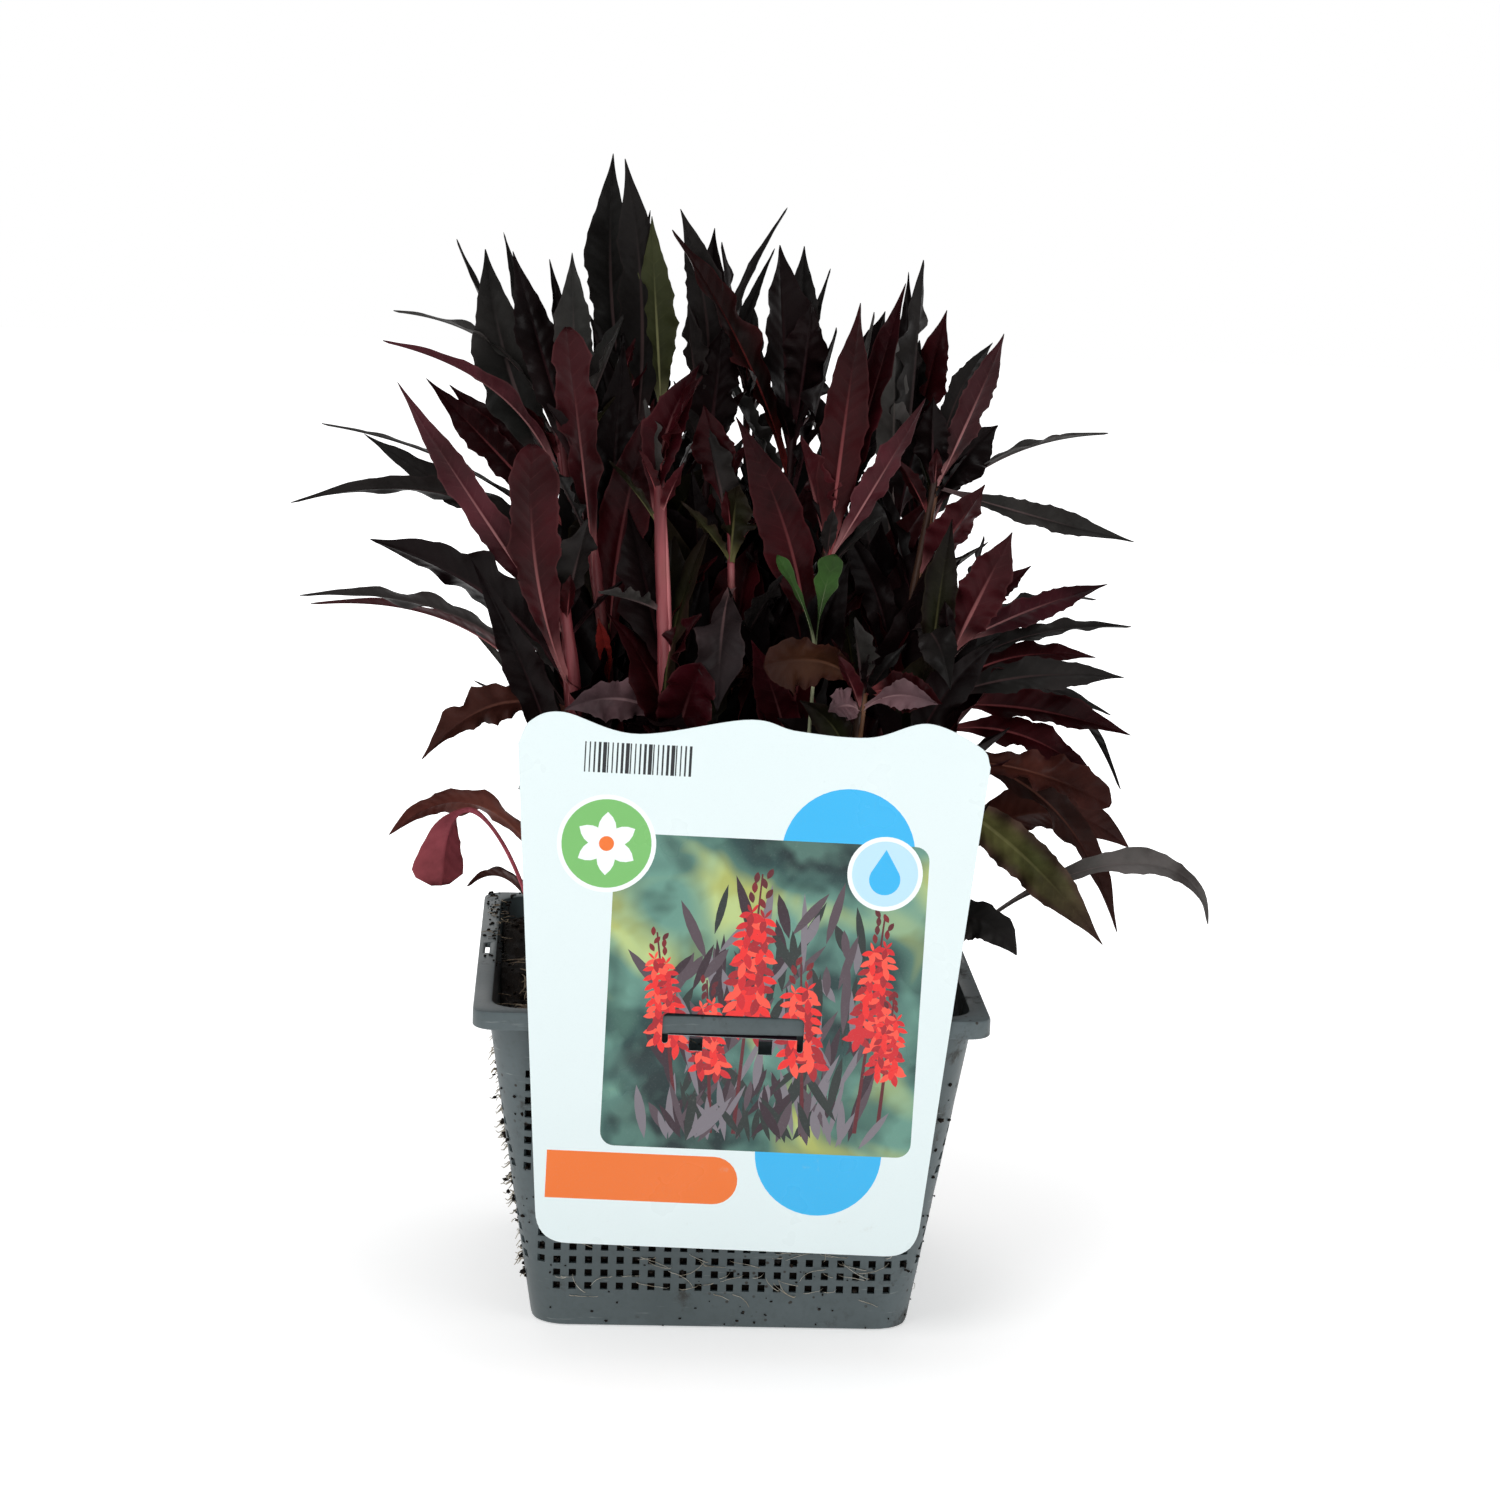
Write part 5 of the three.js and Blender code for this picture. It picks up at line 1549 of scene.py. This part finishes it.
def make_litter(soil_finish, fibre_finish):
    """Crumbs and fibres on the soil, and what has spilled on the rim's left back part."""
    crumbs, fibres = Surface(), Surface()
    for _ in range(SOIL_CRUMBS):
        x, y = dice.uniform(-CRUMBS_HALF, CRUMBS_HALF), dice.uniform(-CRUMBS_HALF, CRUMBS_HALF)
        size = dice.uniform(0.5, 1.0) ** 2 * 1.9
        add_crumb(crumbs, (x, y, soil_height(x, y) + 0.6), size)
    bounds = (-FIBRES_HALF, FIBRES_HALF)
    add_lying_fibres(fibres, SOIL_FIBRES, bounds, bounds, (6, 22), (0.12, 0.3), 0.8)
    add_lying_fibres(fibres, LEFT_FIBRES, (-78, -56), (-78, -10), (7, 18), (0.2, 0.34), 1.0)
    for _ in range(RIM_CRUMBS):
        y = 88 - 110 * dice.random() ** 1.5
        x = -80 - 8.5 * dice.random() ** 1.6
        size = dice.uniform(0.2, 0.8)
        if abs(y) > SLOT_LENGTH / 2 + 2 or x > -84:
            lift = 0.3 * size if x < -84 else -1.2
            add_crumb(crumbs, (x, y, BASKET_HEIGHT + lift), size)
    for _ in range(BACK_RIM_CRUMBS):
        x, y = dice.uniform(-80, 0), dice.uniform(80, 88)
        add_crumb(crumbs, (x, y, BASKET_HEIGHT + 0.2), dice.uniform(0.3, 0.9))
    for _ in range(RIM_FIBRES):
        add_fibre(
            fibres, (dice.uniform(-85, -81), dice.uniform(10, 80)), dice.uniform(0, 6.28),
            dice.uniform(3, 7), 0.15, lambda px, py: BASKET_HEIGHT + 0.1,
        )
    crumbs.make("soil_crumbs", soil_finish, slot="potting_soil")
    fibres.make("soil_fibres", fibre_finish, slot="potting_soil")


# Each tuft's middle and radius.
MOSS_TUFTS = [(26, -68, 5), (8, -72, 3.5), (-66, -22, 4), (-30, 46, 5), (52, 18, 4), (70, -64, 4)]


def make_moss(finish):
    """Small tufts of curved blades on the soil."""
    surface = Surface()
    for middle_x, middle_y, spread in MOSS_TUFTS:
        for _ in range(int(MOSS_DENSITY * spread)):
            x, y = dice.gauss(middle_x, spread / 2), dice.gauss(middle_y, spread / 2)
            lean_x, lean_y = dice.uniform(-1, 1), dice.uniform(-1, 1)
            height = dice.uniform(1.6, 3.6)
            foot = soil_height(x, y) - 0.3
            shares = np.linspace(0, 1, 4)
            path = [(x + lean_x * s * s, y + lean_y * s * s, foot + height * s) for s in shares]
            points, faces = tube(path, 0.3 - 0.22 * shares, 4)
            surface.add(points, faces)
    surface.make("soil_moss", finish, slot="potting_soil")


def add_fringe(roots, bits):
    """Root ends with soil on them that stick out of the left wall near its front corner."""
    for _ in range(FRINGE_ROOTS):
        length = HOLE_PITCH * (dice.randint(4, 10) + 0.5)
        height = ROW_FIRST + ROW_PITCH * dice.randint(0, ROW_COUNT - 1)
        reach = dice.uniform(1.2, 4.4)
        droop, sweep = dice.uniform(-0.9, 0.5), dice.uniform(-0.6, 0.6)
        path = []
        for i in range(7):
            out = -1.2 + (reach + 1.2) * i / 6
            rise = droop * out + 0.8 * math.sin(1.3 * i + reach)
            half, corner = wall_size(height)
            path.append(wall_point(LEFT, length + sweep * out, half, corner, -out, height + rise))
        points, faces = tube(path, np.linspace(0.42, 0.14, len(path)), 5)
        roots.add(points, faces)
        if dice.random() < 0.75:
            add_crumb(bits, path[dice.randint(2, 4)], dice.uniform(0.6, 1.3))


def add_wall_root(roots, side):
    """A fine root that leaves a hole, wanders over the wall and goes in again."""
    length = dice.uniform(-58, 58)
    height = dice.uniform(12, 30) if dice.random() < 0.7 else dice.uniform(30, 98)
    heading = dice.uniform(-0.5, 0.5) + (math.pi if dice.random() < 0.5 else 0)
    bend = dice.uniform(-0.3, 0.3)
    path = []
    steps = dice.randint(5, 11)
    for i in range(steps):
        lift = 0.25 + 0.5 * abs(math.sin(i * 0.9 + length))
        dip = 1.4 if i in (0, steps - 1) else 0.0
        path.append(wall_point(side, length, *wall_size(height), dip - lift, height))
        heading += bend * dice.uniform(0.2, 1)
        length = max(-60, min(60, length + 1.3 * math.cos(heading)))
        height = max(3.5, height + 1.1 * math.sin(heading))
    points, faces = tube(path, np.linspace(0.14, 0.06, len(path)), 5)
    roots.add(points, faces)


def add_wall_bits(bits, side):
    """Bits of soil in the holes of one wall, along its foot and near its two corners."""
    for _ in range(LEFT_HOLE_BITS if side == LEFT else HOLE_BITS):
        column = dice.randint(-11, 10)
        row = dice.randint(0, ROW_COUNT - 1)
        height = ROW_FIRST + ROW_PITCH * row + dice.uniform(-1, 1)
        length = HOLE_PITCH * (column + 0.5) + dice.uniform(-0.8, 0.8)
        inset = dice.uniform(-1.2, 1.0) if side == LEFT else dice.uniform(0.0, 1.5)
        place = wall_point(side, length, *wall_size(height), inset, height)
        add_crumb(bits, place, dice.uniform(0.5, 1.25))
    for _ in range(FOOT_BITS):
        length = dice.uniform(-62, 62)
        height = dice.uniform(0.5, 12) ** 1.3
        place = wall_point(side, length, *wall_size(height), -0.1, height)
        add_crumb(bits, place, dice.uniform(0.25, 0.7))
    for _ in range(CORNER_BITS):
        height = dice.uniform(20, 100)
        half, corner = wall_size(height)
        end = dice.choice((-1, 1)) * (half - dice.uniform(3, 9))
        place = wall_point(side, end, half, corner, dice.uniform(-0.6, 0.8), height)
        add_crumb(bits, place, dice.uniform(0.5, 1.2))


def make_roots(root_finish, soil_finish):
    """Fine roots and bits of soil that come through the mesh and cling to the walls."""
    roots, bits = Surface(), Surface()
    for side in range(4):
        for _ in range(FRONT_WALL_ROOTS if side == FRONT else WALL_ROOTS):
            add_wall_root(roots, side)
        add_wall_bits(bits, side)
    add_fringe(roots, bits)
    roots.make("basket_roots", root_finish, slot="potting_soil")
    bits.make("basket_soil_bits", soil_finish, slot="potting_soil")


# ---------- plant tag ----------
PAPER = srgb(228, 241, 242)
ORANGE = srgb(240, 118, 44)
BLUE = srgb(52, 182, 240)
PALE_BLUE = srgb(190, 228, 244)
WHITE = srgb(244, 250, 250)
GREEN = srgb(122, 190, 108)
BLACK = srgb(34, 36, 40)
REDS = [srgb(236, 40, 38), srgb(206, 28, 38), srgb(250, 84, 66), srgb(164, 24, 36)]
BUDS = [srgb(120, 20, 30), srgb(92, 24, 34)]
PRINTED_LEAVES = [srgb(52, 34, 44), srgb(84, 70, 78), srgb(122, 116, 124), srgb(38, 46, 44)]
PICTURE = (-46, 62, -44, 66)  # left, right, bottom, top
PICTURE_CORNER = 5
STRIPES, STRIPE_PITCH = 24, 1.55
STRIPE_WIDTHS = (0.45, 0.9, 0.45, 1.3, 0.6)
STRIPES_LEFT, STRIPES_BOTTOM, STRIPES_TOP = -58, 86.5, 97
PETALS = [  # angle, reach and width
    (205, 1.0, 0.42), (270, 1.1, 0.46), (335, 1.0, 0.42), (60, 0.75, 0.22), (122, 0.75, 0.22),
]
SPIKES = [  # foot, height, lean and size of flowers
    ((42, -36), 78, 6, 6.0), ((-20, -34), 66, -10, 5.6), ((24, -38), 62, -4, 6.6),
    ((0, -38), 92, 5, 7.0), ((50, -34), 48, 3, 5.2), ((-8, -38), 54, -4, 5.6),
]
BACK_LEAVES, FRONT_LEAVES = 150, 30
FLOWER_LABEL, FLOWER_LABEL_RADIUS = (-49, 62), 17
DROP_LABEL, DROP_LABEL_RADIUS = (47, 56), 13
LABEL_EDGE = 1.6
HALF_DISCS = [((34, 62), 23, 0), ((30, -44), 22, 180)]  # centre, radius and first angle
BAND_LEFT, BAND_END, BAND_RADIUS = -64, (-6, -55), 8.5


def tag_half(height):
    return TAG_HALF_AT_LIP + TAG_TAPER * height


def arc_points(centre, radius, start, end, steps):
    angles = np.radians(np.linspace(start, end, steps))
    return [(centre[0] + radius * math.cos(a), centre[1] + radius * math.sin(a)) for a in angles]


def tag_outline():
    low = tag_half(TAG_BOTTOM)
    top = TAG_BOTTOM + TAG_CORNER
    corner = [
        (-low, TAG_BOTTOM), (-tag_half(top), top), (-low + TAG_CORNER, TAG_BOTTOM),
    ]
    t = np.linspace(0, 1, 10)[:, None]
    peak, start, end = (np.array(point) for point in corner)
    left = (1 - t) ** 2 * start + 2 * t * (1 - t) * peak + t**2 * end
    right = left[::-1] * [-1, 1]
    wave = [(tag_half(TAG_SHOULDER), TAG_SHOULDER)] + TAG_TOP_WAVE[::-1]
    wave.append((-tag_half(TAG_SHOULDER), TAG_SHOULDER))
    place = np.arange(len(wave))
    fine = np.linspace(0, len(wave) - 1, 90)
    x = smooth_curve(list(zip(place, [p[0] for p in wave])), fine)
    z = smooth_curve(list(zip(place, [p[1] for p in wave])), fine)
    return [tuple(p) for p in left] + [tuple(p) for p in right] + list(zip(x, z))


def slot_outline():
    """The slot, which turns down at both ends where its tongue was cut free."""
    left, right, bottom, top = TAG_SLOT
    radius = SLOT_END_WIDE / 2
    first, last = [
        arc_points((edge + radius, low + radius), radius, 180, 360, 9) for edge, low in SLOT_ENDS
    ]
    inner = [(SLOT_ENDS[0][0] + SLOT_END_WIDE, bottom), (SLOT_ENDS[1][0], bottom)]
    corners = [
        arc_points((right - SLOT_ROUND, top - SLOT_ROUND), SLOT_ROUND, 0, 90, 5),
        arc_points((left + SLOT_ROUND, top - SLOT_ROUND), SLOT_ROUND, 90, 180, 5),
    ]
    return first + inner + last + corners[0] + corners[1]


class Print:
    """Flat shapes printed over one another; each part of the sheet shows the last."""

    def __init__(self):
        self.points, self.shapes, self.inks, self.scenes = [], [], [], []

    def add(self, outline, ink, scene=0.0):
        ends = zip(outline, outline[1:] + outline[:1])
        if sum(x1 * z2 - x2 * z1 for (x1, z1), (x2, z2) in ends) < 0:
            outline = outline[::-1]
        start = len(self.points)
        self.points += [Vector((float(x), float(z))) for x, z in outline]
        self.shapes.append(list(range(start, len(self.points))))
        self.inks.append(ink)
        self.scenes.append(scene)
        return len(self.shapes) - 1

    def disc(self, centre, radius, ink, steps=40):
        return self.add(arc_points(centre, radius, 0, 360 * (1 - 1 / steps), steps), ink)

    def lens(self, foot, length, width, angle, ink, steps=5):
        """A slim leaf or petal shape from its foot at an angle in degrees."""
        shares = np.linspace(0, 1, steps + 1)
        sides = []
        for sign in (1, -1):
            order = shares[1:] if sign == 1 else shares[-2:0:-1]
            sides += [(length * s, sign * width / 2 * math.sin(math.pi * s) ** 0.8) for s in order]
        turn = math.radians(angle)
        outline = [(0.0, 0.0)] + sides
        self.add([
            (foot[0] + x * math.cos(turn) - z * math.sin(turn),
             foot[1] + x * math.sin(turn) + z * math.cos(turn)) for x, z in outline
        ], ink)


def draw_flower(sheet, x, z, size):
    """One open flower: three broad lower petals and two narrow upper ones."""
    tilt = dice.uniform(-18, 18)
    for angle, reach, width in PETALS:
        length = size * reach * dice.uniform(0.85, 1.1)
        sheet.lens((x, z), length, size * width, angle + tilt, dice.choice(REDS))


def draw_spike(sheet, foot, height, lean, size):
    top = (foot[0] + lean, foot[1] + height)
    stalk = [(foot[0] - 0.7, foot[1]), (foot[0] + 0.7, foot[1]), (top[0] + 0.3, top[1])]
    sheet.add(stalk + [(top[0] - 0.3, top[1])], BUDS[1])
    count = int(height / (size * 0.42))
    for i in range(count):
        rise = 0.42 + 0.58 * i / count
        x = foot[0] + lean * rise + (-1) ** i * size * (0.75 - 0.5 * rise)
        z = foot[1] + height * rise
        if rise < 0.86:
            draw_flower(sheet, x, z, size * (1.25 - 0.6 * rise))
        else:
            angle = 90 + dice.uniform(-40, 40)
            sheet.lens((x, z), size * 0.6, size * 0.3, angle, dice.choice(BUDS))


def draw_leaves(sheet, count, pick_foot, longest, widest, tilt):
    """Slim leaves that stand more or less upright, each from a foot picked in turn."""
    for _ in range(count):
        foot = pick_foot()
        sheet.lens(
            foot, dice.uniform(10, longest), dice.uniform(2, widest),
            dice.uniform(90 - tilt, 90 + tilt), dice.choice(PRINTED_LEAVES),
        )


def draw_picture(sheet):
    """The framed garden, with leaves behind and before its spikes of flowers."""
    left, right, bottom, top = PICTURE
    frame_line = []
    for x, z, start in ((right, top, 0), (left, top, 90), (left, bottom, 180), (right, bottom, 270)):
        centre = (x - math.copysign(PICTURE_CORNER, x), z - math.copysign(PICTURE_CORNER, z))
        frame_line += arc_points(centre, PICTURE_CORNER, start, start + 90, 7)
    sheet.add(frame_line, PAPER, scene=1.0)
    draw_leaves(
        sheet, BACK_LEAVES, lambda: (dice.uniform(-26, 42), -41 + 74 * dice.random() ** 1.6),
        28, 4, 42,
    )
    for foot, height, lean, size in SPIKES:
        draw_spike(sheet, foot, height, lean, size)
    draw_leaves(
        sheet, FRONT_LEAVES, lambda: (dice.uniform(-31, 47), dice.uniform(-42, -38)), 20, 3.6, 44,
    )


def draw_label(sheet, centre, radius, ink, steps):
    sheet.disc(centre, radius, WHITE, steps)
    sheet.disc(centre, radius - LABEL_EDGE, ink, steps)


def draw_print(sheet):
    """A generic pond-plant picture, bare coloured labels and a striped block; no words."""
    for k in range(STRIPES):
        left = STRIPES_LEFT + STRIPE_PITCH * k
        right = left + STRIPE_WIDTHS[(k * 7) % len(STRIPE_WIDTHS)]
        foot, head = STRIPES_BOTTOM, STRIPES_TOP
        sheet.add([(left, foot), (right, foot), (right, head), (left, head)], BLACK)
    for centre, radius, start in HALF_DISCS:
        sheet.add(arc_points(centre, radius, start, start + 180, 26), BLUE)
    draw_picture(sheet)
    ends = [(BAND_LEFT, BAND_END[1] + BAND_RADIUS), (BAND_LEFT, BAND_END[1] - BAND_RADIUS)]
    sheet.add(ends + arc_points(BAND_END, BAND_RADIUS, -90, 90, 14), ORANGE)
    draw_label(sheet, FLOWER_LABEL, FLOWER_LABEL_RADIUS, GREEN, 48)
    for k in range(6):
        sheet.lens(FLOWER_LABEL, 11, 6.2, 30 + 60 * k, WHITE, 6)
    sheet.disc(FLOWER_LABEL, 2.6, ORANGE, 20)
    draw_label(sheet, DROP_LABEL, DROP_LABEL_RADIUS, PALE_BLUE, 44)
    x, z = DROP_LABEL
    sheet.add([(x, z + 8.5)] + arc_points((x, z - 2), 5.4, 25, -205, 20), BLUE)


def tag_shell(sheet, openings):
    """The printed sheet cut up along its shapes: points, faces, and the ink and scene of each
    face. The front comes first, then the back and the walls at its edges."""
    points, _, faces, _, _, owners = delaunay_2d_cdt(
        sheet.points, [], sheet.shapes, 1, 1e-5, True
    )
    kept, tops = [], []
    for face, owner in zip(faces, owners):
        if 0 in owner and not openings.intersection(owner):
            kept.append(list(face))
            tops.append(max(owner))
    count = len(points)
    edges = {(a, b) for face in kept for a, b in zip(face, face[1:] + face[:1])}
    border = sorted((a, b) for a, b in edges if (b, a) not in edges)
    backs = [[i + count for i in face[::-1]] for face in kept]
    walls = [[b, a, a + count, b + count] for a, b in border]
    plain = len(backs) + len(walls)
    inks = np.array([sheet.inks[top] for top in tops] + [PAPER] * plain)
    scenes = np.array([sheet.scenes[top] for top in tops] + [0.0] * plain)
    front = sorted({i for face in kept for i in face})
    used = front + [i + count for i in front]
    number = {old: new for new, old in enumerate(used)}
    places = [(p.x, y, p.y) for y in (-TAG_THICK, 0.0) for p in points]
    faces = [[number[i] for i in face] for face in kept + backs + walls]
    return np.array(places)[used], faces, {"ink": inks, "scene": scenes}


def make_tag(finish):
    sheet = Print()
    sheet.add(tag_outline(), PAPER)
    draw_print(sheet)
    holes = [
        [(left, bottom), (right, bottom), (right, top), (left, top)]
        for left, right, bottom, top in TAG_HOLES
    ]
    openings = {sheet.add(outline, PAPER) for outline in [*holes, slot_outline()]}
    turn = Matrix.Rotation(math.radians(TAG_LEAN), 3, "X")
    turn = np.array(turn @ Matrix.Rotation(math.radians(TAG_TURN), 3, "Y"))
    surface = Surface()
    shell, faces, values = tag_shell(sheet, openings)
    surface.add(shell @ turn.T + TAG_ORIGIN, faces, None, values)
    tongue, faces = tag_tongue()
    # Partly print and partly painted shade: the whole tongue, back and cut edges too, takes the
    # darkest printed-leaf ink, dark as the shade behind the lip, where the rest of the sheet's back
    # and edges are paper.
    values = {"ink": np.tile(PRINTED_LEAVES[0], (len(faces), 1)), "scene": np.zeros(len(faces))}
    surface.add(tongue @ turn.T + TAG_ORIGIN, faces, None, values)
    surface.make("tag_sheet", finish, stands_for=["tag"], slot="tag_sheet", angle=30)


def tag_tongue():
    """The strip hinged below the slot that passes under the lip and stands behind it."""
    left, right, bottom, _ = TAG_SLOT
    left, right = left + SLOT_END_WIDE, right - SLOT_END_WIDE
    back = TONGUE_BACK
    line = np.array([
        (-0.3, bottom - 0.6), (0.5, bottom - 0.3), (1.8, bottom - 0.1),
        (back - 0.4, bottom + 0.35), (back + 0.15, bottom + 0.9), (back + 0.3, bottom + 1.6),
        (back + 0.3, TONGUE_TOP),
    ])
    along = unit(np.gradient(line, axis=0))
    normal = np.stack([-along[:, 1], along[:, 0]], axis=1) * TAG_THICK / 2
    loop = np.concatenate([line + normal, (line - normal)[::-1]])
    points = [(x, y, z) for x in (left, right) for y, z in loop]
    count = len(loop)
    faces = [list(range(count)), [count + i for i in range(count)][::-1]]
    faces += [[i, i + count, (i + 1) % count + count, (i + 1) % count] for i in range(count)]
    return np.array(points), faces


# ---------- the scene ----------
def make_floor():
    surface = bpy.data.meshes.new("studio_floor")
    reach = 4.0
    surface.from_pydata(
        [(-reach, -reach, 0), (reach, -reach, 0), (reach, reach, 0), (-reach, reach, 0)], [],
        [[0, 1, 2, 3]],
    )
    surface.materials.append(floor_material())
    floor = bpy.data.objects.new("studio_floor", surface)
    bpy.context.scene.collection.objects.link(floor)


make_camera()
make_studio()
make_floor()
make_plant(leaf_material(), stem_material())
make_basket(basket_material())
potting_soil = soil_material()
make_soil(potting_soil)
make_litter(potting_soil, fibre_material("soil_fibre", (84, 66, 50), (168, 152, 128)))
make_roots(fibre_material("root", (206, 202, 190), (160, 148, 128)), potting_soil)
make_tag(tag_material())
make_moss(fibre_material("moss", (40, 62, 24), (92, 112, 50)))
